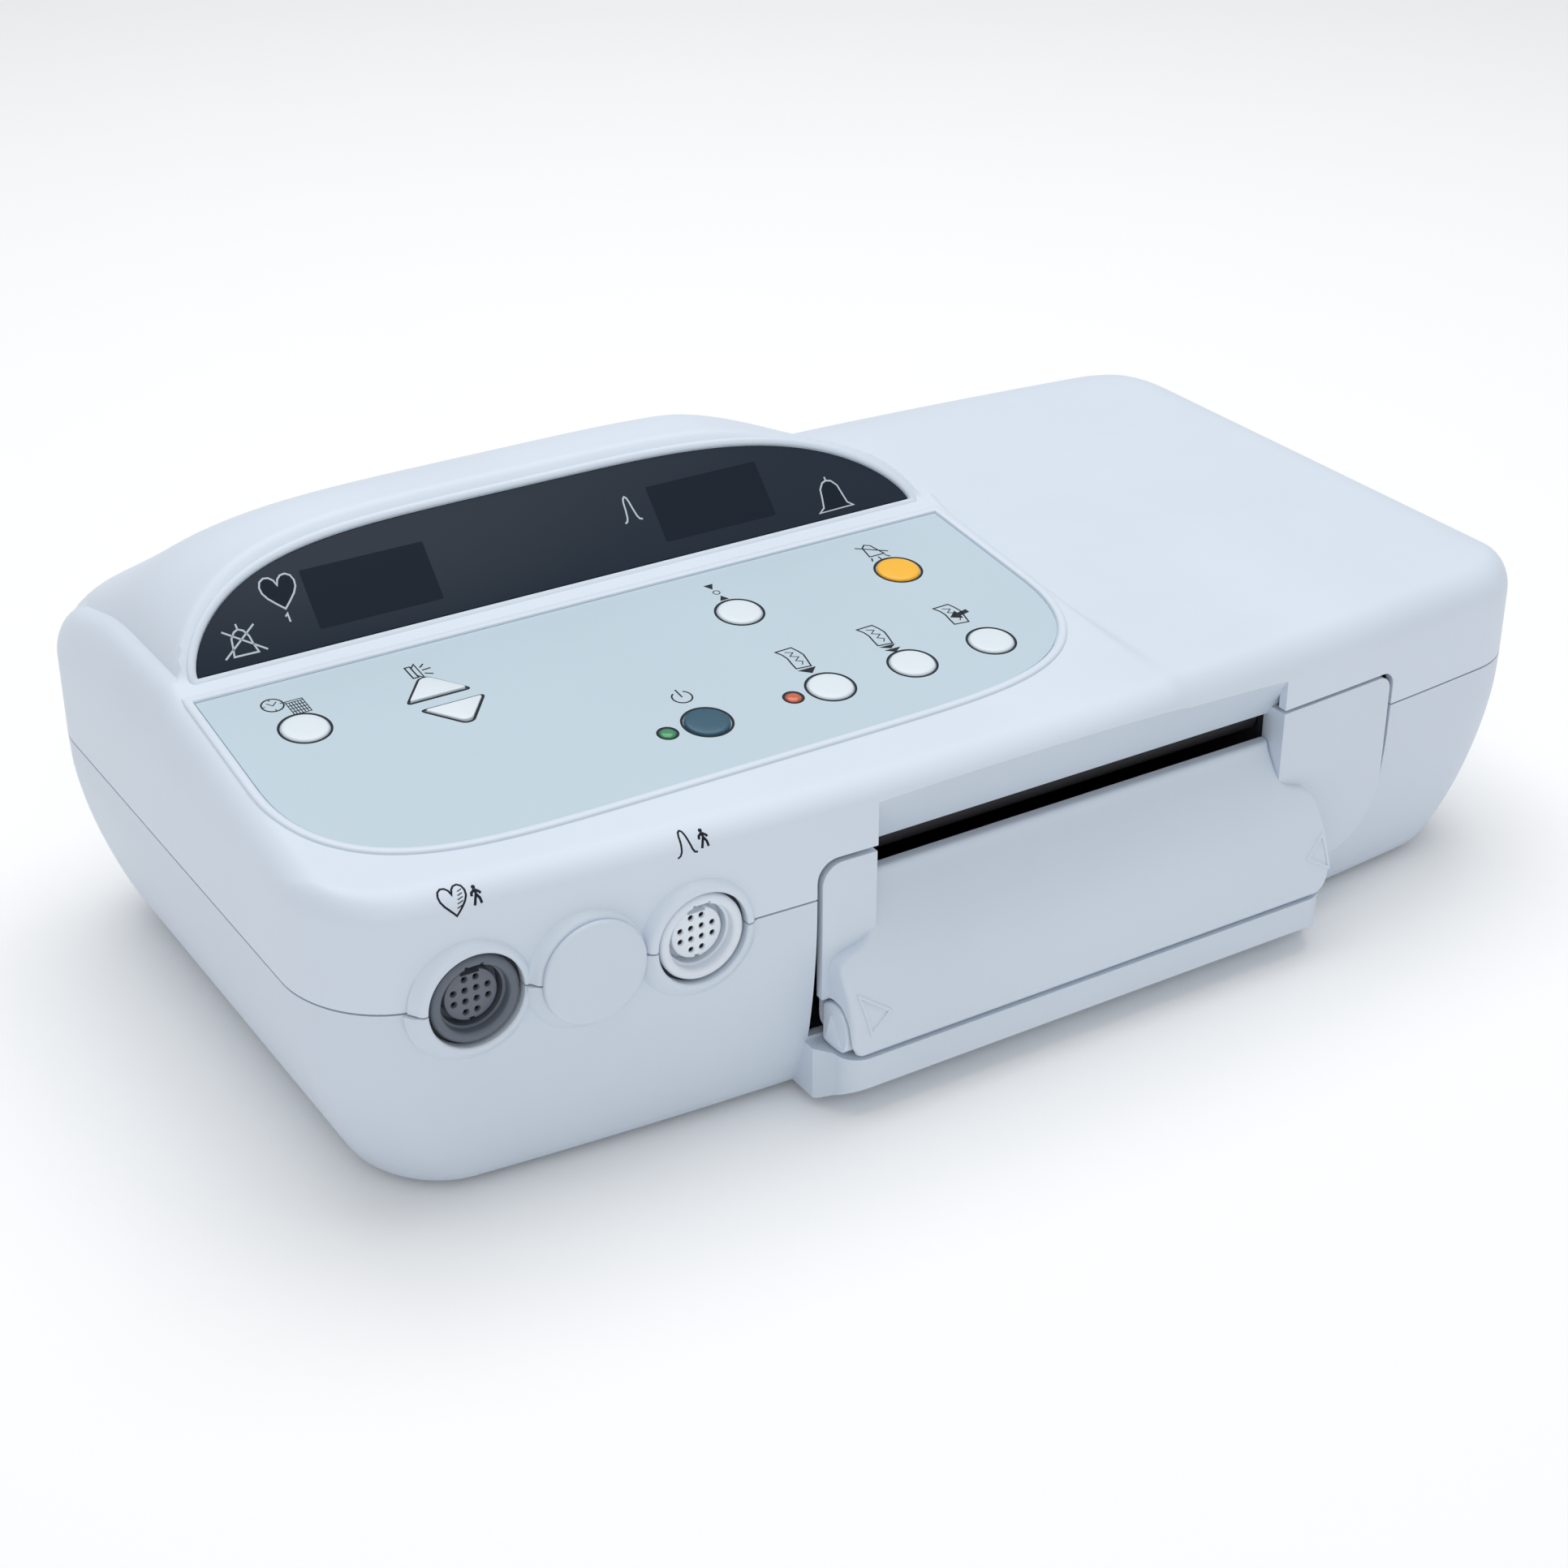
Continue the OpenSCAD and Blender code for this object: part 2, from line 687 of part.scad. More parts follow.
module display_board() {
    color(board_tone) case_frame() face_frame()
        translate([-console_hw + 22, 1, face_board_z - board_t])
            cube([2 * console_hw - 59, face_board_h, board_t]);
}

face_board_h = lens_len - 8.5;

// Digit modules: lower left corners on the display face
left_digits_at = [-console_hw + 46.2, 5.4];
right_digits_at = [console_hw - 95.8, 5.6];

module digits(at) {
    case_frame() face_frame() translate([at[0], at[1], face_board_z]) {
        cube([digit_w, digit_h, digit_deep]);
    }
}

module left_digits() {
    color(dark_tone) digits(left_digits_at);
}

module right_digits() {
    color(dark_tone) digits(right_digits_at);
}

module keypad_overlay() {
    color([0.76, 0.83, 0.87]) case_frame() deck_frame() translate([0, 0, -pad_t]) linear_extrude(pad_t)
        difference() {
            pad_shape(pad_hw, pad_len, 0);
            key_holes(key_play);
            for (p = lamp_places) translate(p) circle(r = lamp_r + lamp_play);
        }
}

module keypad_board() {
    color(board_tone) case_frame() deck_frame()
        translate([0, 0, pad_board_z - board_t]) linear_extrude(board_t) polygon([
            [pad_board[0], -pad_board[2]], [pad_board[1], -pad_board[2]], [pad_board[1], -pad_board[3]],
            [pad_step_x, -pad_board[3]], [pad_step_x, -pad_step_v], [pad_board[0], -pad_step_v]
        ]);
}

key_places = concat(round_keys, [volume_at + [-1, 6.6], volume_at + [1, -6.6]]);
switch_h = 2.2;

module key_switches() {
    color(dark_tone) case_frame() deck_frame() for (p = key_places)
        translate([p[0], p[1], pad_board_z]) {
            translate([-3, -3, 0]) cube([6, 6, switch_h - 0.6]);
            cylinder(h = switch_h, r = 1.7);
        }
}

module lamp(at) {
    case_frame() deck_frame() translate([at[0], at[1], pad_board_z]) {
        cylinder(h = -pad_board_z + 0.1, r = lamp_r);
    }
}

module power_lamp() {
    color([0.11, 0.56, 0.33]) lamp(power_lamp_at);
}

module record_lamp() {
    color([0.80, 0.35, 0.18]) lamp(record_lamp_at);
}

// A key: cap, flange under the deck and a stem that ends just over its switch
stem_end = pad_board_z + switch_h + key_travel + 0.1;

module key_stem(at) {
    translate([at[0], at[1], 0]) {
        translate([0, 0, -deck_in - 0.1 - key_flange]) cylinder(h = key_flange, r = key_r + 1.4);
        translate([0, 0, stem_end]) cylinder(h = -stem_end - deck_in, r = 2);
    }
}

module round_key(at) {
    case_frame() deck_frame() {
        translate([at[0], at[1], -deck_in - 0.2]) cylinder(h = deck_in + 0.2 + key_proud, r = key_r);
        key_stem(at);
    }
}

module volume_key(dir) {
    case_frame() deck_frame() {
        translate([volume_at[0], volume_at[1], -deck_in - 0.2])
            linear_extrude(deck_in + 0.2 + key_proud) volume_shape(dir, 0);
        translate([volume_at[0], volume_at[1], -deck_in - 0.1 - key_flange])
            linear_extrude(key_flange) volume_shape(dir, 1.1);
        translate([volume_at[0] - dir, volume_at[1] + dir * 6.6, stem_end])
            cylinder(h = -stem_end - deck_in, r = 2);
    }
}

module clock_key() {
    color(key_tone) round_key(clock_at);
}

module volume_up_key() {
    color(key_tone) volume_key(1);
}

module volume_down_key() {
    color(key_tone) volume_key(-1);
}

module reference_key() {
    color(key_tone) round_key(reference_at);
}

module alarm_key() {
    color([0.99, 0.80, 0.22]) round_key(alarm_at);
}

module power_key() {
    color([0.15, 0.33, 0.41]) round_key(power_at);
}

module record_key() {
    color(key_tone) round_key(record_at);
}

module speed_key() {
    color(key_tone) round_key(speed_at);
}

module mark_key() {
    color(key_tone) round_key(mark_at);
}

// Socket shell: flange ring and threaded shank, with a wide mouth and a narrower well for the insert
insert_len = 10;
groove_d = 4;
well_step = 0.7;
insert_play = 0.05;
insert_r = mouth_r - well_step - insert_play;
island_sunk = mouth_d + 0.3;

module socket(i) {
    case_frame() front_frame(socket_x[i], boss_y(i) + flange_sunk + flange_t) difference() {
        union() {
            cylinder(h = flange_t, r = flange_r);
            translate([0, 0, -shank_len]) cylinder(h = shank_len, r = shank_r);
        }
        translate([0, 0, flange_t - mouth_d]) cylinder(h = mouth_d + 1, r = mouth_r);
        translate([0, 0, -shank_len - 1]) cylinder(h = shank_len + flange_t + 1, r = insert_r + insert_play);
    }
}

// Insert: an island with a keyway and twelve contact holes in rows of two, four, four and two
contact_step = 3.5;
contact_rows = [[-1, 1], [-3, -1, 1, 3], [-3, -1, 1, 3], [-1, 1]];
keyway_w = 4.4;
keyway_d = 1.2;

module insert(i) {
    case_frame() front_frame(socket_x[i], boss_y(i) + flange_sunk + island_sunk) difference() {
        union() {
            translate([0, 0, -groove_d]) cylinder(h = groove_d, r = island_r);
            translate([0, 0, -groove_d - insert_len]) cylinder(h = insert_len, r = insert_r);
        }
        translate([-keyway_w / 2, island_r - keyway_d, -groove_d])
            cube([keyway_w, keyway_d + 1, groove_d + 1]);
        translate([-keyway_d / 2, -island_r - 1, -groove_d])
            cube([keyway_d, keyway_d + 1, groove_d + 1]);
        for (r = [0 : 3], c = contact_rows[r])
            translate([c * contact_step / 2, (1.5 - r) * contact_step, -6])
                cylinder(h = 8, r = contact_r, $fn = 16);
    }
}

module ultrasound_socket() {
    color([0.43, 0.46, 0.51]) socket(0);
}

module ultrasound_insert() {
    color([0.36, 0.39, 0.44]) insert(0);
}

module toco_socket() {
    color([0.84, 0.88, 0.92]) socket(2);
}

module toco_insert() {
    color([0.90, 0.93, 0.96]) insert(2);
}

module socket_nuts() {
    color(steel_tone) case_frame() for (i = [0, 2])
        front_frame(socket_x[i], boss_y(i) + boss_depth + nut_t + 0.1) difference() {
            cylinder(h = nut_t, r = nut_r, $fn = 6);
            translate([0, 0, -1]) cylinder(h = nut_t + 2, r = shank_r + 0.05);
        }
}

cap_r = boss_r - 0.3;
cap_t = 2;
cap_plug_r = 11;

module blank_cap() {
    color(base_tone) case_frame() front_frame(socket_x[1], boss_y(1)) difference() {
        union() {
            translate([0, 0, 0.05]) cylinder(h = cap_t, r = cap_r);
            translate([0, 0, -boss_depth - 2]) cylinder(h = boss_depth + 2.05, r = cap_plug_r);
        }
        translate([0, 0, -boss_depth - 3]) cylinder(h = boss_depth + 3, r = cap_plug_r - 2);
    }
}

insert_back = flange_sunk + island_sunk + groove_d + insert_len;
socket_board_y = boss_y(0) + insert_back + 3;

module socket_board() {
    color(board_tone) case_frame() {
        translate([socket_x[0] - 14, socket_board_y, -16]) cube([2 * socket_pitch + 28, board_t, 34]);
        for (i = [0, 2])
            front_frame(socket_x[i], socket_board_y + board_t / 2)
                cylinder(h = socket_board_y + board_t / 2 - boss_y(i) - insert_back, r = insert_r - 1.5);
    }
}

// Recorder chassis: floor, two side plates and a cross bar over the print head
roller_teeth = 24;
idler_teeth = 24;
pinion_teeth = 12;
frame_t = 2;
frame_low = bay_low - frame_t;
tray_left = slot_left - 1.5;
tray_right = slot_right + 1.5;
plate_left = tray_left - 3;
plate_right = tray_right + 1;
frame_front = -front_y + 17.8;
frame_back = frame_front + paper_d + 10;
roller_y = frame_front + 5;
roller_z = 5;
idler_drop = 12;
idler_y = roller_y + sqrt(pow((roller_teeth + idler_teeth) / 2, 2) - pow(idler_drop, 2));
idler_z = roller_z - idler_drop;
motor_y = idler_y + (idler_teeth + pinion_teeth) / 2;
motor_z = idler_z;
shaft_r = 2.5;
pin_r = 1.5;
bearing_r = 5;
bar_z = roller_z + roller_r + 7.4;

module recorder_frame() {
    color(steel_tone) case_frame() difference() {
        union() {
            translate([bay_left + 2, frame_front, frame_low])
                cube([motor_plate_x + 2 - bay_left, frame_back - frame_front, frame_t]);
            for (x = [plate_left, plate_right])
                translate([x, frame_front, frame_low])
                    cube([frame_t, frame_back - frame_front, bar_z + frame_t - frame_low]);
            translate([plate_left, frame_front + 4, bar_z])
                cube([plate_right - plate_left + frame_t, 24, frame_t]);
            translate([motor_plate_x, frame_front + 20, frame_low])
                cube([frame_t, frame_back - frame_front - 24, roller_z + 13 - frame_low]);
            translate([plate_right + 0.5, idler_y, idler_z]) rotate([0, 90, 0])
                cylinder(h = motor_plate_x - plate_right, r = pin_r);
        }
        translate([plate_left - 1, roller_y, roller_z]) rotate([0, 90, 0])
            cylinder(h = plate_right - plate_left + 10, r = bearing_r + 0.05);
        translate([motor_plate_x - 1, motor_y, motor_z]) rotate([0, 90, 0]) cylinder(h = 4, r = 4);
    }
}
gear_x = plate_right + frame_t + 2.4;
gear_w = 5;
motor_plate_x = gear_x + gear_w + 2.4;

head_t = 2;

module print_head() {
    color([0.25, 0.26, 0.28]) case_frame() {
        translate([slot_left, roller_y - 6, roller_z + roller_r + 0.3])
            cube([slot_right - slot_left, 14, head_t]);
        translate([slot_left, roller_y - 4, roller_z + roller_r + 0.3 + head_t])
            cube([slot_right - slot_left, 18, bar_z - roller_z - roller_r - 0.35 - head_t]);
    }
}

module platen_roller() {
    color([0.18, 0.18, 0.20]) case_frame() translate([0, roller_y, roller_z]) rotate([0, 90, 0]) {
        translate([0, 0, slot_left]) cylinder(h = slot_right - slot_left, r = roller_r);
        translate([0, 0, plate_left - 1]) cylinder(h = gear_x + gear_w + 1.5 - plate_left + 1, r = shaft_r);
    }
}

module roller_bearings() {
    color([0.82, 0.66, 0.38]) case_frame() for (x = [plate_left, plate_right])
        translate([x, roller_y, roller_z]) rotate([0, 90, 0]) difference() {
            cylinder(h = frame_t, r = bearing_r);
            translate([0, 0, -1]) cylinder(h = frame_t + 2, r = shaft_r + 0.05);
        }
}

// Spur gear lying along X, with its first tooth at the given turn
module gear(teeth, bore, turn) {
    rp = teeth / 2;
    rotate([90, 0, 90]) rotate([0, 0, turn]) difference() {
        linear_extrude(gear_w) polygon([
            for (i = [0 : teeth - 1], q = [[-0.30, -1.05], [-0.12, 0.75], [0.12, 0.75], [0.30, -1.05]])
                let (a = (i + q[0]) * 360 / teeth)
                [(rp + q[1]) * cos(a), (rp + q[1]) * sin(a)]
        ]);
        translate([0, 0, -1]) cylinder(h = gear_w + 2, r = bore);
    }
}

mesh_angle = atan2(idler_z - roller_z, idler_y - roller_y);

module roller_gear() {
    color([0.88, 0.88, 0.84]) case_frame() translate([gear_x, roller_y, roller_z])
        gear(roller_teeth, shaft_r, mesh_angle);
}

module idler_gear() {
    color([0.88, 0.88, 0.84]) case_frame() translate([gear_x, idler_y, idler_z])
        gear(idler_teeth, pin_r + 0.05, mesh_angle + 180 + 180 / idler_teeth);
}

module motor_pinion() {
    turn = mesh_angle + 180 + 180 / idler_teeth;
    near = round(turn * idler_teeth / 360) * 360 / idler_teeth - turn;
    color([0.82, 0.66, 0.38]) case_frame() translate([gear_x, motor_y, motor_z])
        gear(pinion_teeth, 1, 180 + 180 / pinion_teeth + near * idler_teeth / pinion_teeth);
}

motor_r = 13;
motor_len = 20;
motor_shaft_r = 0.95;
shaft_out = frame_t + 2.6 + gear_w;

module recorder_motor() {
    color([0.30, 0.31, 0.34]) case_frame()
        translate([motor_plate_x + frame_t + 0.1, motor_y, motor_z]) rotate([0, 90, 0]) {
            cylinder(h = motor_len, r = motor_r);
            translate([0, 0, -frame_t - 0.1 - 2.4 - gear_w]) cylinder(h = shaft_out, r = motor_shaft_r);
        }
}

// Drawer front: shoulders flush with the case, sloped centre plate, lower roll
roll_left = bay_left + 4;
roll_right = lip_right - 1;
roll_y = -front_y - front_reach;
latch_y = roll_y + 9.6;
latch_z = bay_low + 7.4;
latch_ry = 7.2;
latch_rz = 8;
latch_len = 9;

module latch_shape(grow) {
    scale([latch_ry + grow, latch_rz + grow]) circle(r = 1);
}

// Side view of the centre plate: a straight slope that turns into the roll
module plate_profile() {
    roll = [
        [10.9, 31.8], [6.9, 27], [3.3, 21.4], [1, 15.3],
        [0, 10], [0.3, 5.3], [2.2, 1.6], [5.6, drawer_low]
    ];
    polygon(concat(
        [[panel_y, panel_top], [panel_y - 2.9, panel_top - 8.3], [panel_y - 7.6, panel_top - 15.7]],
        [for (p = roll) [roll_y + p[0], bay_low + p[1]]],
        [
            [panel_y - 3.5, bay_low + drawer_low], [panel_y - 3.5, bay_low + 26],
            [panel_y + 2.6, panel_top - 8.4], [panel_y + 2.6, panel_top]
        ]
    ));
}
drawer_low = 0.3;

// Front view of the centre plate, wider at the roll
module plate_outline() {
    right = [[-8.2, 34.4], [-4.5, 33.3], [-1.2, 32.5], [0, 30.5], [0, 12], [-0.6, 4], [-3, -2]];
    left = [[3, -2], [0.6, 4], [0, 12], [0, 27], [1, 29], [3, 29.6], [10, 30.4], [14.6, 34]];
    polygon(concat(
        [
            [slot_left + 0.6, panel_top + 1], [slot_right - 0.4, panel_top + 1],
            [slot_right + 0.4, bay_low + 38]
        ],
        [for (p = right) [roll_right + p[0], bay_low + p[1]]],
        [for (p = left) [roll_left + p[0], bay_low + p[1]]],
        [[slot_left + 0.2, bay_low + 41], [slot_left + 0.6, bay_low + 48]]
    ));
}

shoulder_t = 3;

module shoulder(x1, x2, low) {
    g = drawer_gap;
    intersection() {
        translate([0, 0, bay_low - 10]) linear_extrude(bay_top - bay_low + 20) polygon(concat(
            [for (i = [0 : 4]) let (x = x1 + (x2 - x1) * i / 4) [x, wall_y(x) + 0.1]],
            [for (i = [4 : -1 : 0]) let (x = x1 + (x2 - x1) * i / 4) [x, wall_y(x) + shoulder_t]]
        ));
        through_front(60, -100) bay_shape(g);
        translate([-hw, -far_front, low]) cube([case_w, far_front, bay_top - low + 10]);
    }
}

module drawer_front() {
    color(base_tone) case_frame() difference() {
        union() {
            intersection() {
                rotate([90, 0, 90]) translate([0, 0, -hw]) linear_extrude(case_w) plate_profile();
                through_front(80, -90) plate_outline();
            }
            shoulder(bay_left, slot_left, bay_low);
            shoulder(slot_right, bay_right, bay_low);
            translate([slot_left - 1.6, wall_y(slot_left) + 0.5, bay_low + 0.8])
                cube([2.4, tray_front - wall_y(slot_left) - 0.4, panel_top - bay_low - 3]);
            translate([slot_right - 0.6, wall_y(slot_right) + 0.5, bay_low + 0.8])
                cube([2.4, tray_front - wall_y(slot_right) - 0.4, panel_top - bay_low + 4]);
        }
        for (x = [roll_left - 1, roll_right + 1 - latch_pocket]) translate([x, latch_y, latch_z])
            rotate([90, 0, 90]) linear_extrude(latch_pocket) latch_shape(0.3);
    }
}
latch_pocket = latch_len + latch_travel + 5;
tray_front = panel_y + 3;

// Tray for the folded paper, open at the top
tray_t = 1.5;
tray_wall_h = 26;

module paper_tray() {
    w = tray_right - tray_left - 0.6;
    d = paper_d + 8;
    color([0.20, 0.22, 0.25]) case_frame()
        translate([tray_left + 0.3, tray_front + 0.1, bay_low + 0.3]) difference() {
            cube([w, d, tray_wall_h]);
            translate([tray_t, tray_t, tray_t]) cube([w - 2 * tray_t, d - 2 * tray_t, tray_wall_h]);
        }
}

module latch(side) {
    x = side < 0 ? roll_left - 0.6 : roll_right + 0.6 - latch_len;
    case_frame() translate([x, latch_y, latch_z]) rotate([90, 0, 90])
        linear_extrude(latch_len) latch_shape(0);
}

module left_latch() {
    color(shell_tone) latch(-1);
}

module right_latch() {
    color(shell_tone) latch(1);
}

spring_r = 3;

// A spring fills the pocket between its end and the latch
spring_gap = 0.05;
module latch_spring(side) {
    from = roll_left - 0.6 + latch_len + spring_gap;
    to = roll_left - 1 + latch_pocket - spring_gap;
    far = roll_right + 1 - latch_pocket + spring_gap;
    color(steel_tone) case_frame() translate([side < 0 ? from : far, latch_y, latch_z])
        rotate([0, 90, 0]) difference() {
            cylinder(h = to - from, r = spring_r);
            translate([0, 0, -1]) cylinder(h = to - from + 2, r = spring_r - 0.8);
        }
}

module left_spring() {
    latch_spring(-1);
}

module right_spring() {
    latch_spring(1);
}

module main_board() {
    color(board_tone) case_frame() translate([board_box[0], board_box[1], board_z])
        cube([board_box[2] - board_box[0], board_box[3] - board_box[1], board_t]);
    color(dark_tone) case_frame() for (p = chips)
        translate([p[0], board_box[1] + p[1], board_z + board_t]) cube([p[2], p[2], 3]);
}

// Corner along X, distance from the board's front edge, side
chips = [[board_box[0] + 24, 18, 24], [board_box[0] + 74, 28, 30], [board_box[2] - 46, 38, 26]];
psu_side = 52.5;
psu_w = 92;
psu_d = 62;
psu_back = rear_y - 43.3;
psu_box = [-hw + psu_side, psu_back - psu_d, -hw + psu_side + psu_w, psu_back];
psu_h = 34;

module power_supply() {
    color(steel_tone) case_frame()
        translate([psu_box[0], psu_box[1], floor_z + 0.1])
            cube([psu_box[2] - psu_box[0], psu_box[3] - psu_box[1], psu_h]);
}

inlet_deep = 18;
inlet_edge = 3;
blade_len = inlet_deep - 5;

module mains_inlet() {
    color(dark_tone) case_frame() translate([inlet_x, inlet_y, inlet_z]) difference() {
        union() {
            translate([-inlet_w / 2 - inlet_rim, 0, -inlet_h / 2 - inlet_edge])
                cube([inlet_w + 2 * inlet_rim, inlet_proud, inlet_h + 2 * inlet_edge]);
            translate([-inlet_w / 2, -inlet_deep, -inlet_h / 2]) cube([inlet_w, inlet_deep + 0.2, inlet_h]);
        }
        translate([-inlet_w / 2 + 2.5, -inlet_deep + 2, -inlet_h / 2 + 2.5])
            cube([inlet_w - 5, inlet_deep + 3, inlet_h - 5]);
    }
    color(steel_tone) case_frame() for (p = [[-7, 0], [0, 3.5], [7, 0]])
        translate([inlet_x + p[0] - 1, inlet_y - inlet_deep + 1.5, inlet_z + p[1] - 2]) cube([2, blade_len, 4]);
}

module loudspeaker() {
    color(dark_tone) case_frame() translate([speaker_at[0], speaker_at[1], floor_z + 0.1]) {
        difference() {
            cylinder(h = 4, r = speaker_r);
            translate([0, 0, -1]) cylinder(h = 3, r = speaker_r - 3);
        }
        translate([0, 0, 3.9]) cylinder(h = magnet_h, r1 = speaker_r - 8, r2 = speaker_r - 13);
    }
}

module rubber_feet() {
    color([0.12, 0.12, 0.13]) case_frame() for (p = foot_xy)
        translate([p[0], p[1], -part_z]) cylinder(h = part_z - base_depth + foot_sunk - 0.1, r = foot_r);
}

module case_screws() {
    color(steel_tone) case_frame() for (p = post_xy) translate([p[0], p[1], screw_seat - screw_head_h]) {
        cylinder(h = screw_head_h, r = screw_head_r);
        cylinder(h = screw_head_h + screw_len, r = screw_r);
    }
}

top_case();
base_case();
display_lens();
display_board();
left_digits();
right_digits();
keypad_overlay();
keypad_board();
key_switches();
power_lamp();
record_lamp();
clock_key();
volume_up_key();
volume_down_key();
reference_key();
alarm_key();
power_key();
record_key();
speed_key();
mark_key();
ultrasound_socket();
ultrasound_insert();
toco_socket();
toco_insert();
socket_nuts();
blank_cap();
socket_board();
recorder_frame();
print_head();
platen_roller();
roller_gear();
roller_bearings();
idler_gear();
motor_pinion();
recorder_motor();
drawer_front();
paper_tray();
left_latch();
right_latch();
left_spring();
right_spring();
main_board();
power_supply();
mains_inlet();
loudspeaker();
rubber_feet();
case_screws();
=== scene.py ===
"""Looks of the desktop fetal monitor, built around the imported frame. Lengths are millimetres until place()."""

from math import ceil, cos, dist, pi, radians, sin, sqrt, tan

import bmesh
import bpy
import numpy as np
from mathutils import Matrix, Vector
from mathutils.bvhtree import BVHTree
from numpy.linalg import norm


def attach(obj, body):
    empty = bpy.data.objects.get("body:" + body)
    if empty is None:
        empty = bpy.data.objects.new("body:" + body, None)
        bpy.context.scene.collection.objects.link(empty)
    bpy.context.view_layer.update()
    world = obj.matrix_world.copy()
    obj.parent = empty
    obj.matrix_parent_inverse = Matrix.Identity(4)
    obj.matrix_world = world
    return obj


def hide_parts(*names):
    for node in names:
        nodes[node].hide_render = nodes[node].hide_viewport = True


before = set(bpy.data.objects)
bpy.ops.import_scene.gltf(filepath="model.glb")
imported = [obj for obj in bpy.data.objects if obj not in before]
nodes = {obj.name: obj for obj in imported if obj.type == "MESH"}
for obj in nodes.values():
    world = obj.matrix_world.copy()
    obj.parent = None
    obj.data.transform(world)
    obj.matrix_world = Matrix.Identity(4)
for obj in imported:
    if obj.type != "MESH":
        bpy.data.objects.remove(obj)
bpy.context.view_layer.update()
scene = bpy.context.scene

MM = 0.001

# Case, in millimetres, with z = 0 at the parting line
FRONT_Y, REAR_Y = 125.8, 127.3
FRONT_BOW, REAR_BOW = 12.8, 14.4
HALF_W = 222.5
CORNER_X, CORNER_Y = 27.0, 30.0
FRONT_REACH = 12.4
MID_Y = (FRONT_Y + FRONT_REACH - REAR_Y) / 2
PART_Z = 72.0
LID_H, LID_ROUND, SIDE_ROUND, LID_SIDE_ROUND, REAR_ROUND = 34.0, 12.0, 10.0, 17.0, 22.0
TOP_WALL, BASE_WALL, PART_GAP = 3.2, 2.6, 0.6
CONSOLE_X, CONSOLE_HW, FLANK_W = -80.0, 131.0, 6.0
CONSOLE_RIGHT = CONSOLE_X + CONSOLE_HW + 5
DECK_TILT, DECK_H, DECK_MID_Y = radians(7), 42.0, -50.0
FACE_TILT, FACE_H, FACE_LEN = radians(46), 51.0, 40.0
PAD_TOP_Y, FACE_Y = -2.0, 7.0
FACE_RISE = FACE_LEN * sin(FACE_TILT)
CREST_START, CREST_END, CREST_BEND = 45.0, 124.0, 24.0
WALL_TOP_LID = LID_H - LID_ROUND
WALL_TOP_CONSOLE = WALL_TOP_LID + 5


def place(points):
    """Case millimetres to the row frame in metres."""
    return (np.asarray(points, float) + (0, MID_Y, PART_Z)) * MM


def srgb(r, g, b):
    """Linear colour of an eight-bit screen colour."""
    return tuple(c / 12.92 if c <= 0.04045 else ((c + 0.055) / 1.055) ** 2.4 for c in (r / 255, g / 255, b / 255))


# Materials

def plastic(name, rgb, rough=0.45, grain=0.06, grain_scale=1600, mottle=0.02, coat=0.0, specular=0.5):
    """Moulded plastic: fine grain in the bump, faint clouds in colour and gloss."""
    mat = bpy.data.materials.new(name)
    mat.use_nodes = True
    tree = mat.node_tree
    bsdf = tree.nodes["Principled BSDF"]
    kinds = ("TexCoord", "TexNoise", "TexNoise", "ValToRGB", "MapRange", "Bump")
    spot, clouds, fine, ramp, gloss, bump = (tree.nodes.new("ShaderNode" + kind) for kind in kinds)
    for node, socket, value in (
            (bsdf, "Specular IOR Level", specular), (bsdf, "Coat Weight", coat), (bsdf, "Coat Roughness", 0.08),
            (clouds, "Scale", 14), (clouds, "Detail", 4), (fine, "Scale", grain_scale), (fine, "Detail", 3),
            (gloss, "To Min", rough - 0.04), (gloss, "To Max", rough + 0.05), (bump, "Strength", grain),
            (bump, "Distance", 0.0003)):
        node.inputs[socket].default_value = value
    colour = srgb(*rgb)
    low, high = ramp.color_ramp.elements
    low.position, high.position = 0.3, 0.7
    low.color = (*[c * (1 - mottle) for c in colour], 1)
    high.color = (*[min(1, c * (1 + mottle)) for c in colour], 1)
    for source, output, target, socket in (
            (spot, "Object", clouds, "Vector"), (spot, "Object", fine, "Vector"), (clouds, "Fac", ramp, "Fac"),
            (ramp, "Color", bsdf, "Base Color"), (clouds, "Fac", gloss, "Value"), (gloss, "Result", bsdf, "Roughness"),
            (fine, "Fac", bump, "Height"), (bump, "Normal", bsdf, "Normal")):
        tree.links.new(source.outputs[output], target.inputs[socket])
    return mat


def metal(name, rgb, rough=0.35, scratch_scale=300):
    """Bare or plated metal with faint drawn marks."""
    mat = plastic(name, rgb, rough, 0.05, scratch_scale, 0.05)
    mat.node_tree.nodes["Principled BSDF"].inputs["Metallic"].default_value = 1
    return mat


SHELL = plastic("shell_plastic", (215, 225, 237), 0.42)
SHELL_LOW = plastic("lower_shell_plastic", (210, 220, 232), 0.42)
# Darker copy of the shell plastic for a thin sheet on the recess face over the slot: painted shade.
RECESS_SHADE = plastic("recess_shade_plastic", (201, 211, 224), 0.46)
DOOR = plastic("door_plastic", (212, 222, 234), 0.44)
LENS = plastic("smoked_window", (33, 44, 57), 0.3, 0.01, 900, 0.03, specular=0.15)
WINDOW = plastic("digit_window", (22, 33, 46), 0.3, 0.01, 900, 0.03, specular=0.15)
FILM = plastic("keypad_film", (190, 208, 219), 0.38, 0.05, 2400, 0.012)
INK = plastic("dark_ink", (24, 30, 40), 0.5, 0.03, 3000, 0.05, specular=0.2)
LENS_INK = plastic("pale_ink", (190, 200, 208), 0.5, 0.03, 3000, 0.04)
WHITE_KEY = plastic("white_key", (222, 231, 238), 0.36, 0.03)
YELLOW_KEY = plastic("yellow_key", (250, 186, 40), 0.36, 0.03)
TEAL_KEY = plastic("teal_key", (30, 82, 104), 0.34, 0.03)
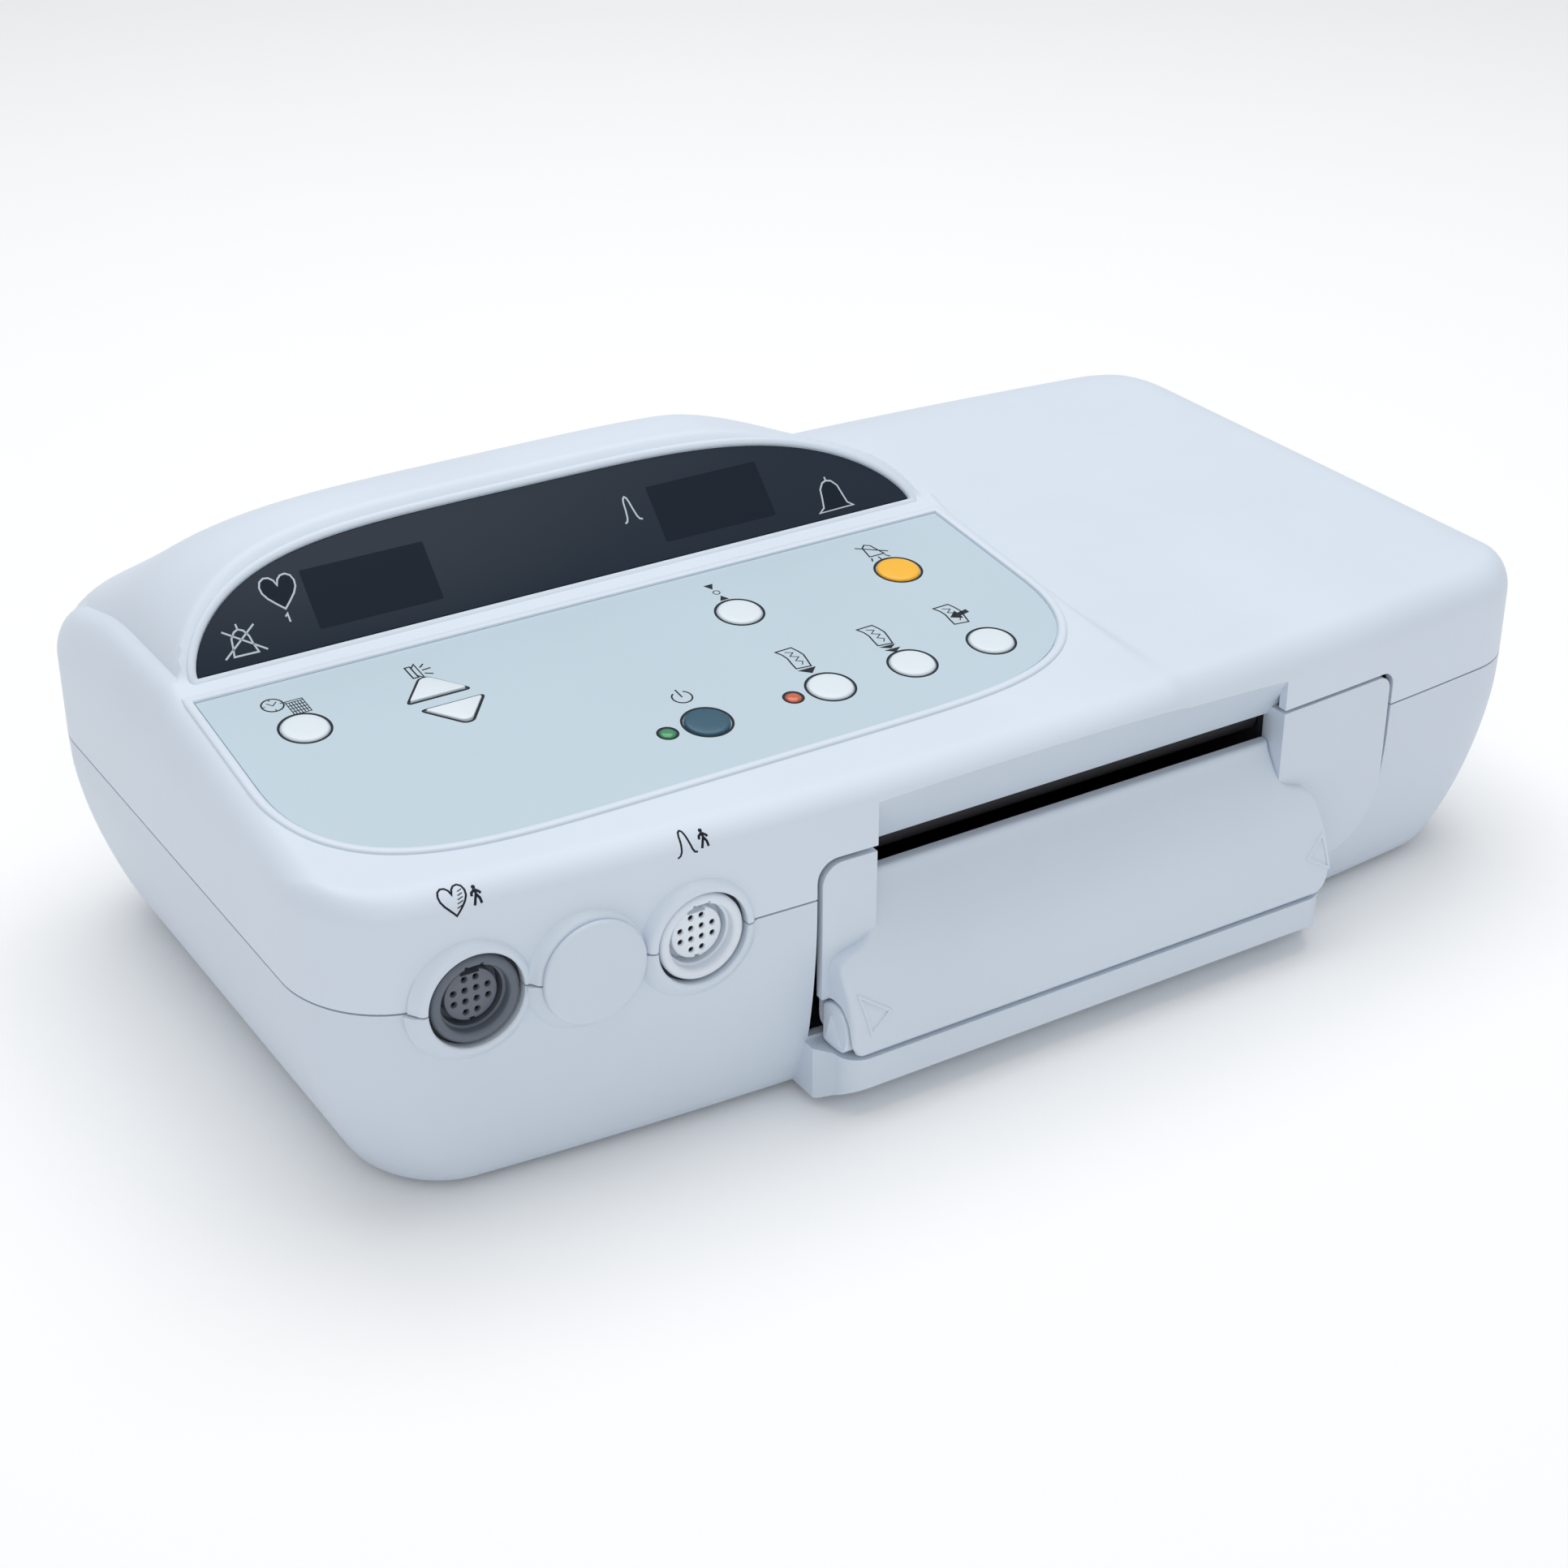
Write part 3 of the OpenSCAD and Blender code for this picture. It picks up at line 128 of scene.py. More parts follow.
GREEN_LAMP = plastic("green_lamp", (26, 140, 80), 0.2, 0.01, 600, 0.08, coat=0.6)
RED_LAMP = plastic("red_lamp", (206, 84, 36), 0.2, 0.01, 600, 0.08, coat=0.6)
GREY_SOCKET = plastic("grey_socket", (96, 104, 116), 0.4)
GREY_INSERT = plastic("grey_insert", (106, 112, 124), 0.45)
WHITE_SOCKET = plastic("white_socket", (224, 232, 241), 0.38)
WHITE_INSERT = plastic("white_insert", (232, 239, 246), 0.4)
# Near-black fill for the socket pin holes: painted shade inside the holes.
HOLE_SHADE = plastic("contact_shadow", (26, 32, 42), 0.5)
BLACK = plastic("black_plastic", (30, 33, 38), 0.5)
BOARD = plastic("circuit_board", (32, 92, 58), 0.4, 0.12, 700, 0.12)
RUBBER = plastic("black_rubber", (38, 38, 41), 0.7, 0.15, 1200)
GEAR = plastic("nylon", (225, 224, 212), 0.5)
STEEL = metal("steel", (190, 192, 196), 0.32)
SHEET = metal("zinc_sheet", (176, 180, 184), 0.42, 120)
BRONZE = metal("bronze", (196, 160, 98), 0.4)

LOOK_NODES = (
    (BOARD, "display_board keypad_board socket_board main_board"),
    (STEEL, "socket_nuts left_spring right_spring case_screws"),
    (BLACK, "left_digits right_digits key_switches print_head recorder_motor paper_tray mains_inlet loudspeaker"),
    (SHEET, "recorder_frame power_supply"), (RUBBER, "platen_roller rubber_feet"), (GEAR, "roller_gear idler_gear"),
    (BRONZE, "roller_bearings motor_pinion"), (SHELL, "top_case"), (SHELL_LOW, "base_case blank_cap"),
    (LENS, "display_lens"), (FILM, "keypad_overlay"), (GREEN_LAMP, "power_lamp"), (RED_LAMP, "record_lamp"),
    (GREY_SOCKET, "ultrasound_socket"), (GREY_INSERT, "ultrasound_insert"), (WHITE_SOCKET, "toco_socket"),
    (WHITE_INSERT, "toco_insert"), (DOOR, "drawer_front left_latch right_latch"), (YELLOW_KEY, "alarm_key"),
    (TEAL_KEY, "power_key"),
)
CAD_LOOKS = {node: look for look, names in LOOK_NODES for node in names.split()}
for node_name, node_object in nodes.items():
    node_object.data.materials.clear()
    node_object.data.materials.append(CAD_LOOKS.get(node_name, WHITE_KEY))


# Mesh helpers

def shift(x, y, z):
    """A move without a turn."""
    return Matrix.Translation((x, y, z))


def add_object(name, data):
    """A new object in the scene."""
    obj = bpy.data.objects.new(name, data)
    scene.collection.objects.link(obj)
    return obj


def new_object(name, verts, quads):
    """A mesh object from case millimetres."""
    mesh = bpy.data.meshes.new(name)
    mesh.from_pydata([tuple(v) for v in place(verts)], [], quads)
    mesh.validate()
    return add_object(name, mesh)


def settle(obj, look, body, sharp=32):
    """Gives a finished piece its material, shading and body."""
    obj.data.materials.clear()
    obj.data.materials.append(look)
    for poly in obj.data.polygons:
        poly.use_smooth = True
    obj.data.set_sharp_from_angle(angle=radians(sharp))
    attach(obj, body)
    return obj


def evaluated_mesh(obj):
    """The mesh that an object shows with its modifiers or as a curve."""
    return bpy.data.meshes.new_from_object(obj.evaluated_get(bpy.context.evaluated_depsgraph_get()))


def modified(obj, kind, **settings):
    """Applies one modifier to the mesh."""
    mod = obj.modifiers.new(kind.lower(), kind)
    for setting, value in settings.items():
        setattr(mod, setting, value)
    mesh = evaluated_mesh(obj)
    obj.modifiers.clear()
    obj.data = mesh
    return obj


def cut(obj, *tools, operation="DIFFERENCE"):
    """Exact booleans with each tool in turn; the tools are deleted."""
    for tool in tools:
        modified(obj, "BOOLEAN", solver="EXACT", operation=operation, object=tool)
        bpy.data.objects.remove(tool)
    return obj


def bevel(obj, width, segments, angle):
    """Rounds the sharp edges of a low mesh."""
    return modified(obj, "BEVEL", width=width * MM, segments=segments, limit_method="ANGLE", angle_limit=radians(angle),
                    harden_normals=False)


def band(a, b, n):
    """Faces between two rings of n vertices that start at a and b."""
    return [(a + k, a + (k + 1) % n, b + (k + 1) % n, b + k) for k in range(n)]


def loft_mesh(rows, cap=True):
    """Vertices and faces through equal closed rows of points."""
    rows = np.asarray(rows, float)
    m, n, _ = rows.shape
    faces = [face for i in range(m - 1) for face in band(i * n, (i + 1) * n, n)]
    if cap:
        faces += [tuple(range(n - 1, -1, -1)), tuple(range((m - 1) * n, m * n))]
    return rows.reshape(-1, 3), faces


def in_frame(matrix, points):
    """Points of a local frame as case millimetres."""
    points = np.asarray(points, float)
    return points @ np.array(matrix.to_3x3()).T + np.array(matrix.translation)


def weld(obj, distance):
    """Merges doubled points, such as those on the axis of a turned piece."""
    return modified(obj, "WELD", merge_threshold=distance * MM)


def unit(v):
    """The vector at length one."""
    return v / max(1e-9, norm(v))


def turns_left(loop):
    """Whether a closed 2D loop runs anticlockwise."""
    return sum(p[0] * q[1] - q[0] * p[1] for p, q in zip(loop, loop[1:] + loop[:1])) > 0


def sheet_mesh(name, loops, thickness, matrix, round_edge, look, body):
    """A flat sheet on the local z = 0 plane from closed 2D loops, the first outside and the rest holes."""
    curve = bpy.data.curves.new(name, "CURVE")
    curve.dimensions, curve.fill_mode, curve.bevel_resolution = "2D", "BOTH", 2
    curve.extrude, curve.bevel_depth, curve.offset = thickness / 2 - round_edge, round_edge, -round_edge
    for loop in loops:
        spline = curve.splines.new("POLY")
        spline.points.add(len(loop) - 1)
        for p, q in zip(spline.points, loop):
            p.co = (q[0], q[1], 0, 1)
        spline.use_cyclic_u = True
    holder = add_object(name + "_curve", curve)
    mesh = evaluated_mesh(holder)
    bpy.data.objects.remove(holder)
    verts = np.array([v.co for v in mesh.vertices]) + (0, 0, thickness / 2)
    faces = [tuple(p.vertices) for p in mesh.polygons]
    obj = new_object(name, in_frame(matrix, verts), faces)
    weld(obj, 0.01)
    return settle(obj, look, body, 30)


def on_plane(matrix):
    """Surface function of a flat local frame."""
    def surface(points):
        flat = np.column_stack([points, np.zeros(len(points))])
        normal = np.array(matrix.to_3x3() @ Vector((0, 0, 1)))
        return in_frame(matrix, flat), np.tile(normal, (len(points), 1))
    return surface


def subdivide(points, closed, step):
    """Adds points so that no part of a stroke is longer than step."""
    pts = [np.asarray(p, float) for p in points]
    ends = pts[1:] + ([pts[0]] if closed else [])
    out = []
    for a, b in zip(pts, ends):
        count = max(1, int(ceil(norm(b - a) / step)))
        out += [a + (b - a) * i / count for i in range(count)]
    return np.array(out if closed else out + [pts[-1]])


TOP_SHARE, MIN_SPREAD = 0.86, 0.45


def ribbons(name, strokes, width, surface, look, body, thickness, step=50.0, sunk=0.02):
    """Raised lines: strips with mitred corners along each stroke, (points, closed), on a surface."""
    verts, faces = [], []
    for points, closed in strokes:
        p = subdivide(points, closed, step)
        n = len(p)
        at, normal = surface(p)
        base = len(verts)
        for i in range(n):
            before = at[i - 1] if (i > 0 or closed) else at[i]
            after = at[(i + 1) % n] if (i < n - 1 or closed) else at[i]
            a, b = unit(at[i] - before), unit(after - at[i])
            side = np.cross(normal[i], unit(a + b))
            lead = a if norm(a) > 0.5 else b
            stretch = 1 / max(MIN_SPREAD, abs(float(side @ np.cross(normal[i], lead))))
            off = side * width / 2 * stretch
            crest, top, low = off * TOP_SHARE, normal[i] * thickness, -normal[i] * sunk
            verts += [at[i] + crest + top, at[i] - crest + top, at[i] - off + low, at[i] + off + low]
        for i in range(n if closed else n - 1):
            faces += band(base + 4 * i, base + 4 * ((i + 1) % n), 4)
        if not closed:
            faces.append(tuple(base + k for k in (3, 2, 1, 0)))
            faces.append(tuple(base + 4 * (n - 1) + k for k in range(4)))
    return settle(face_out(new_object(name, verts, faces)), look, body, 20)


def inked(name, strokes, width, surface, thickness=0.05, step=50.0):
    """Dark printed lines on the case."""
    return ribbons(name, strokes, width, surface, INK, "case", thickness, step)


def open_strokes(*parts):
    """Strokes that keep both ends."""
    return [(list(part), False) for part in parts]


def closed_strokes(*parts):
    """Strokes that run back to their start."""
    return [(list(part), True) for part in parts]


def scaled(points, x, y, w=1, h=1):
    """Points of a unit drawing, stretched to w by h and moved to (x, y)."""
    return [(x + u * w, y + v * h) for u, v in points]


def on_piece(obj, matrix):
    """Surface function that drops the points of a local frame straight onto a piece."""
    mesh = obj.data
    tree = BVHTree.FromPolygons([v.co.copy() for v in mesh.vertices], [tuple(p.vertices) for p in mesh.polygons])
    down = -(matrix.to_3x3() @ Vector((0, 0, 1)))

    def surface(points):
        at, normals = [], []
        for u, v in points:
            start = Vector(place([matrix @ Vector((u, v, 15))])[0])
            spot, normal, _, _ = tree.ray_cast(start, down)
            at.append(np.array(spot) / MM - (0, MID_Y, PART_Z))
            normals.append(np.array(normal))
        return np.array(at), np.array(normals)
    return surface


def face_out(obj):
    """Drops stray edges and makes the normals of every closed piece point outward."""
    bm = bmesh.new()
    bm.from_mesh(obj.data)
    bmesh.ops.delete(bm, geom=[e for e in bm.edges if not e.link_faces], context="EDGES")
    bmesh.ops.recalc_face_normals(bm, faces=bm.faces)
    bm.to_mesh(obj.data)
    bm.free()
    return obj


def join(name, objects):
    """One object with the meshes of all."""
    bm = bmesh.new()
    for obj in objects:
        bm.from_mesh(obj.data)
        bpy.data.objects.remove(obj)
    mesh = bpy.data.meshes.new(name)
    bm.to_mesh(mesh)
    bm.free()
    return add_object(name, mesh)


def circle(x, y, r, count=48, start=0.0, end=360.0):
    """Points of a circle or an arc, in degrees."""
    full = abs(end - start - 360) < 1e-6
    steps = count if full else count + 1
    return [(x + r * cos(radians(start + (end - start) * i / count)),
             y + r * sin(radians(start + (end - start) * i / count))) for i in range(steps)]


def smooth_step(t):
    """Soft rise from 0 to 1."""
    t = np.clip(t, 0, 1)
    return t * t * (3 - 2 * t)


# Case surfaces

def arch(s):
    """Height of the window's arch, 0 to 1, for s from -1 at the left end to 1 at the right."""
    s = np.asarray(s, float)
    a = np.clip(np.abs(s), 0, 1)
    return np.where(s > 0, (1 - a ** 3.6) ** 0.67, (1 - a ** 4.8) ** 0.66)


def deck_z(y):
    """Height of the sloped keypad deck."""
    return DECK_H + tan(DECK_TILT) * (y - DECK_MID_Y)


def crest_z(x):
    """Height of the hump's crest behind the window."""
    return FACE_H + (FACE_RISE + 1) * arch((x - CONSOLE_X) / CONSOLE_HW)


def crest_drop(y):
    """Fall of the hump towards the rear, with a bend at its start."""
    over = np.maximum(0, y - CREST_START)
    return np.where(over < CREST_BEND, over ** 2 / (2 * CREST_BEND), over - CREST_BEND / 2)


def soft_min(a, b, k):
    """Lower of two heights with a rounded join of reach k."""
    h = np.clip(0.5 + 0.5 * (b - a) / k, 0, 1)
    return b + (a - b) * h - k * h * (1 - h)


def raw_top(x, y):
    """Height of the upper case over the parting line, before rounding of the creases."""
    share = np.maximum(0, 1 - crest_drop(y) / crest_drop(np.array(CREST_END)))
    shoulder = 1 - 0.42 * smooth_step((x - CONSOLE_X - 60) / 68) * np.clip((y - FACE_Y - 13) / 50, 0, 1)
    hump = soft_min(FACE_H + (y - FACE_Y) * tan(FACE_TILT), LID_H + (crest_z(x) - LID_H) * share * shoulder, 1.2)
    deck_top = deck_z(PAD_TOP_Y)
    strip = deck_top + (FACE_H - deck_top) * (y - PAD_TOP_Y) / (FACE_Y - PAD_TOP_Y)
    console = np.where(y < PAD_TOP_Y, deck_z(y), np.where(y < FACE_Y, strip, hump))
    share_x = smooth_step((CONSOLE_RIGHT + FLANK_W + 1 - x) / (FLANK_W + 2))
    return LID_H + (console - LID_H) * share_x


def top_z(x, y):
    """Height of the upper case with its creases rounded by averaging."""
    offsets = (-1.0, -0.5, 0.0, 0.5, 1.0)
    return sum(raw_top(x + 0.6 * o, y + o) + raw_top(x - 0.6 * o, y + o) for o in offsets) / (2 * len(offsets))


def corner(x, w):
    """Share of the corner's depth at x, 0 up to the corner and 1 at the side."""
    t = np.clip((np.abs(x) - (w - CORNER_X)) / CORNER_X, 0, 1)
    return 1 - np.sqrt(np.maximum(0, 1 - t ** 2))


def plan_front(x, w, d):
    """Front edge in plan for half width w and depth d."""
    return -d + FRONT_BOW * (x / w) ** 2 + CORNER_Y * corner(x, w)


def plan_rear(x, w, d):
    """Rear edge in plan."""
    return d - REAR_BOW * (x / w) ** 2 - CORNER_Y * corner(x, w)


def roundness(d, r):
    """Share of full height at distance d from an edge rounded by r."""
    return sqrt(max(0, 1 - (1 - min(d, r) / r) ** 2))


def console_share(x):
    """1 over the console, 0 over the lid."""
    return min(1, max(0, (CONSOLE_RIGHT + FLANK_W - x) / FLANK_W))


FLANK_FROM, FLANK_TO = 44, 70


def stations(w, fine):
    """Places along X, closer at the corners and at the console's flank."""
    corner_turn = [w - CORNER_X * (1 - cos(radians(a))) for a in np.linspace(0, 84, 18)]
    left = [-v for v in corner_turn]
    body = [*np.arange(-w + CORNER_X, FLANK_FROM, fine), *np.arange(FLANK_FROM, FLANK_TO, 1.0),
            *np.arange(FLANK_TO, w - CORNER_X, fine)]
    return left + body + [w - CORNER_X] + corner_turn[::-1]


def section(x, t, w, low):
    """One closed section of the upper case at x, drawn in by t."""
    c = console_share(x)
    yf, yb = float(plan_front(x, w, FRONT_Y - t)), float(plan_rear(x, w, REAR_Y - t))
    zw = WALL_TOP_LID + (WALL_TOP_CONSOLE - WALL_TOP_LID) * c
    fx = roundness(w - abs(x), SIDE_ROUND + (LID_SIDE_ROUND - SIDE_ROUND) * (1 - c))
    rf, rb = LID_ROUND - 3 * c, REAR_ROUND
    turn = np.radians(np.linspace(0, 90, 13))
    front = [(yf + rf * (1 - cos(a)), sin(a)) for a in turn]
    y0, y1 = yf + rf, yb - rb
    marks = np.concatenate([np.linspace(-1, -0.08, 34), np.linspace(-0.075, 0.62, 64), np.linspace(0.64, 1, 16)[:-1]])
    ys = np.sort(np.where(marks < 0, -y0 * marks, y1 * marks)[1:])
    middle = [(v, 1.0) for v in ys if y0 + 0.3 < v < y1 - 0.3]
    rear = [(yb - rb * (1 - cos(a)), sin(a)) for a in turn[::-1]]
    y, s = np.array(front + middle + rear).T
    z = zw + (top_z(np.full_like(y, x), y) - zw) * fx * s - t
    half_up = low + (zw - low) * 0.5
    return [(x, yf, low), (x, yf, half_up)] + [(x, a, b) for a, b in zip(y, z)] + [(x, yb, half_up), (x, yb, low)]


def top_block(name, t, low, fine):
    """The upper case as a solid, drawn in by t."""
    w = HALF_W - t
    rows = [section(x, t, w, low) for x in stations(w, fine)]
    return face_out(new_object(name, *loft_mesh(rows)))


BASE_DEPTH = PART_Z - 2
BASE_LEVELS = [
    (1, 22.5, 14), (0.985, 20, 11.6), (0.95, 18, 9.8), (0.89, 15.8, 8.2), (0.83, 13.6, 6.8),
    (0.69, 9.6, 4.4), (0.52, 5.6, 2.4), (0.34, 2.4, 1), (0.17, 0.5, 0.2), (0, 0, 0),
]
TONGUE_H, TONGUE_IN = 2.0, TOP_WALL + 0.3


def outline(z, side, front, fine):
    """Plan outline of the lower case at one height."""
    xs = np.array(stations(HALF_W, fine))
    kx = (HALF_W - side) / HALF_W
    fore = [(x * kx, float(plan_front(x, HALF_W, FRONT_Y)) * (FRONT_Y - front) / FRONT_Y, z) for x in xs]
    aft = [(x * kx, float(plan_rear(x, HALF_W, REAR_Y)) * (REAR_Y - front) / REAR_Y, z) for x in xs[::-1]]
    return fore + aft


def base_levels():
    """Levels between the named ones, on a smooth curve."""
    depth, side, front = np.array(BASE_LEVELS[::-1], float).T
    wanted = np.concatenate([np.linspace(0, 0.9, 22), np.linspace(0.92, 1, 8)])
    return [(d, cubic(depth, side, d), cubic(depth, front, d)) for d in wanted]


def cubic(xs, ys, x):
    """Smooth monotone interpolation through rising xs."""
    i = int(np.clip(np.searchsorted(xs, x) - 1, 0, len(xs) - 2))
    slope = np.diff(ys) / np.diff(xs)
    tangent = np.concatenate([[slope[0]], (slope[1:] + slope[:-1]) / 2, [slope[-1]]])
    h = xs[i + 1] - xs[i]
    t = (x - xs[i]) / h
    return float((2 * t**3 - 3 * t**2 + 1) * ys[i] + (t**3 - 2 * t**2 + t) * h * tangent[i]
                 + (-2 * t**3 + 3 * t**2) * ys[i + 1] + (t**3 - t**2) * h * tangent[i + 1])


def base_block(name, fine):
    """The lower case as a solid, with the tongue that fits into the upper case."""
    rows = [outline(-max(BASE_DEPTH * d, PART_GAP / 2), side, front, fine) for d, side, front in base_levels()[::-1]]
    rows += [outline(z, TONGUE_IN, TONGUE_IN, fine) for z in (-PART_GAP / 2, TONGUE_H)]
    return face_out(new_object(name, *loft_mesh(rows)))


def base_hollow_block(name):
    """The room inside the lower case."""
    t, step = BASE_WALL, 12
    rows = [outline(-(BASE_DEPTH - t) * depth, side + t, front + t, step) for depth, side, front in BASE_LEVELS[1:8:2]]
    rows.append(outline(-8, t, t, step))
    rows += [outline(z, TONGUE_IN + 1.4, TONGUE_IN + 1.4, step) for z in (-4, TONGUE_H + 1)]
    return face_out(new_object(name, *loft_mesh(rows)))


# Local frames

def rot_x(angle):
    """A turn about the X axis."""
    return Matrix.Rotation(angle, 4, "X")


DECK = shift(0, PAD_TOP_Y, float(deck_z(PAD_TOP_Y))) @ rot_x(DECK_TILT)
FACE = shift(CONSOLE_X, FACE_Y, FACE_H) @ rot_x(FACE_TILT)


def front_frame(x, y):
    """Local z points out of the front, x to the right, y up."""
    return shift(x, y, 0) @ rot_x(pi / 2)


def prism(name, loop, low, high, matrix):
    """A straight prism over a 2D loop."""
    n = len(loop)
    verts = [(*p, low) for p in loop] + [(*p, high) for p in loop]
    faces = [tuple(range(n - 1, -1, -1)), tuple(range(n, 2 * n))] + band(0, n, n)
    if not turns_left(loop):
        faces = [f[::-1] for f in faces]
    return face_out(new_object(name, in_frame(matrix, verts), faces))


def side_prism(name, loop, x0, x1):
    """A prism along X over a loop in the (y, z) plane."""
    turn = Matrix(((0, 0, 1, 0), (1, 0, 0, 0), (0, 1, 0, 0), (0, 0, 0, 1)))
    return prism(name, loop, x0, x1, turn)


def lens_loop(w, h, low):
    """Arched outline over a straight lower edge."""
    crown = [(-w * cos(a), h * float(arch(-cos(a) * 0.9999))) for a in np.linspace(0, pi, 120)]
    return [(-w, -low)] + crown + [(w, -low)]


def pad_loop(w, h, up):
    """Keypad outline: straight upper edge, rounded lower corners, in deck coordinates."""
    bend = h * 0.51
    pts = [(w - 1, up), (-w + 1, up), (-w, -bend)]
    for a in np.linspace(radians(3), radians(177), 90):
        c = abs(cos(a))
        pts.append((-w * cos(a), -bend - (h - bend) * (1 - c**6) ** 0.458))
    pts.append((w, -bend))
    return [(CONSOLE_X + x, y) for x, y in pts]


def sweep_ring(name, loop, profile, matrix):
    """A closed rim: profile points are (outward offset, height) along a closed 2D loop."""
    p = np.asarray(loop, float)
    n, m = len(p), len(profile)
    outward = 1 if turns_left(loop) else -1
    verts, faces = [], []
    for i in range(n):
        j = (i + 1) % n
        a, b = unit(p[i] - p[i - 1]), unit(p[j] - p[i])
        t = unit(a + b)
        out = np.array([t[1], -t[0]]) * outward
        edge = np.array([a[1], -a[0]]) * outward
        stretch = 1 / max(0.5, float(out @ edge))
        verts += [(*(p[i] + out * o * stretch), h) for o, h in profile]
        faces += [face[::outward] for face in band(i * m, j * m, m)]
    return new_object(name, in_frame(matrix, verts), faces)


def rim_profile(inner, outer, height):
    """Half-round section of a rim between two offsets."""
    mid, half = (inner + outer) / 2, (outer - inner) / 2
    crown = [(mid + half * cos(a), height * sin(a) ** 0.7) for a in np.linspace(0, pi, 13)]
    return [(outer, RIM_LOW)] + crown + [(inner, RIM_LOW)]


# Keypad, window and recorder sizes
PAD_HW, PAD_LEN, PAD_T = 131.5, 98.0, 0.5
LENS_HW, LENS_LEN, LENS_T, LENS_PROUD = 125.5, 34.5, 1.6, 0.2
SHEET_PLAY, RIM_LOW = 0.3, -0.9
SLOT_LEFT, PAPER_W, PAPER_PLAY = -53.5, 152.0, 2.0
SLOT_RIGHT = SLOT_LEFT + PAPER_W + 2 * PAPER_PLAY
BAY_LEFT, BAY_RIGHT, BAY_LOW, BAY_TOP, BAY_ROUND = -74.0, 151.5, -50.0, 12.5, 7.0
BAY_LOW_ROUND, BAY_TOP_ROUND = 24, 5
SLOT_BACK_Y, SLOT_TOP, RECESS_TOP, RECESS_WALL = -115.0, 8.5, 27.5, 2.4
SOCKET_X = [-181.0 + 34.3 * i for i in range(3)]
BOSS_R, BOSS_PROUD, BOSS_DEPTH = 16.6, 2.6, 8.0
FLANGE_R, FLANGE_SUNK, FLANGE_T, MOUTH_R = 13.6, 1.0, 2.4, 10.4
FLANGE_PLAY, GROOVE_W, GROOVE_DEPTH, HOLE_DEPTH = 0.45, 0.6, 1.2, 16
CAP_R, CAP_PLUG_R, SHANK_R = 16.3, 11.0, 12.0
FRONT_CUT = (60, 160)
CUTTER_STEP = 10.0
PAD_POCKET = pad_loop(PAD_HW + SHEET_PLAY, PAD_LEN + SHEET_PLAY, SHEET_PLAY)
LENS_POCKET = lens_loop(LENS_HW + SHEET_PLAY, LENS_LEN + SHEET_PLAY, SHEET_PLAY)


def wall_y(x):
    """Front wall of the case at x."""
    return float(plan_front(x, HALF_W, FRONT_Y))


def boss_y(i):
    """Face of the boss at a socket place."""
    return wall_y(SOCKET_X[i]) - BOSS_PROUD


def arc(x, z, r, first, last, count):
    """Points of an arc between two angles in degrees."""
    return [(x + r * cos(a), z + r * sin(a)) for a in np.radians(np.linspace(first, last, count))]


def bay_loop(g):
    """Outline of the recorder bay in the front wall, drawn in by g."""
    left, right, top, low = BAY_LEFT + g, BAY_RIGHT - g, BAY_TOP - g, BAY_LOW + g
    pts = [(left, low), (right - BAY_LOW_ROUND, low)]
    pts += arc(right - BAY_LOW_ROUND, low + BAY_LOW_ROUND, BAY_LOW_ROUND, -80, 0, 12)
    pts += arc(right - BAY_TOP_ROUND, top - BAY_TOP_ROUND, BAY_TOP_ROUND, 0, 90, 8)
    return pts + arc(left + BAY_ROUND, top - BAY_ROUND, BAY_ROUND, 90, 180, 10)


LIP_TOP, LIP_LOW, LIP_LEFT, LIP_RIGHT, LIP_Y = -51.5, -62.0, -71.0, 115.0, -137.2
INLET_X, INLET_Z = -150.0, -28.0
INLET_Y = float(plan_rear(INLET_X + 24, HALF_W, REAR_Y)) + 0.3
POSTS = [(-180, -74), (-180, 80), (180, -90), (180, 80)]
FEET = [(-165, -78), (-165, 82), (165, -78), (165, 82)]
WELL_R, FOOT_R = 3.2, 8.0
SPEAKER_X, SPEAKER_Y, SPEAKER_STEP = -125, -24, 7


def speaker_holes():
    """Places of the grille's holes: one in the middle and two rings round it."""
    spots = []
    for ring in range(3):
        for i in range(max(1, 6 * ring)):
            a = radians(i * 60 / max(ring, 1))
            spots.append((SPEAKER_X + SPEAKER_STEP * ring * cos(a), SPEAKER_Y + SPEAKER_STEP * ring * sin(a)))
    return spots


def lip_block(name):
    """The lip under the roll, with rounded ends in plan."""
    rear, floor_z, r = -FRONT_Y + 22, -BASE_DEPTH + 1, 8
    profile = [(LIP_Y, LIP_TOP), (LIP_Y, LIP_LOW), (-FRONT_Y + 1, floor_z), (rear, floor_z), (rear, LIP_TOP)]
    body = side_prism(name, profile, LIP_LEFT - 6, LIP_RIGHT + 6)
    turn = np.radians(np.linspace(0, 90, 9))
    plan = [(LIP_LEFT + r - r * sin(a), LIP_Y + r - r * cos(a)) for a in turn]
    plan += [(LIP_LEFT - 4, -FRONT_Y + 2), (LIP_LEFT - 4, -90), (LIP_RIGHT + 4, -90), (LIP_RIGHT + 4, -FRONT_Y + 2)]
    plan += [(LIP_RIGHT - r + r * sin(a), LIP_Y + r - r * cos(a)) for a in turn[::-1]]
    return cut(body, prism("plan", plan, -BASE_DEPTH, 0, Matrix.Identity(4)), operation="INTERSECT")


def wedge_loop():
    """Section of the recess over the drawer, with the slot for the paper at its rear."""
    return [(-FRONT_Y - 3, RECESS_TOP + 6), (SLOT_BACK_Y, SLOT_TOP), (SLOT_BACK_Y, -1.5), (-FRONT_Y - 3, -1.5)]


FINE = 4.0


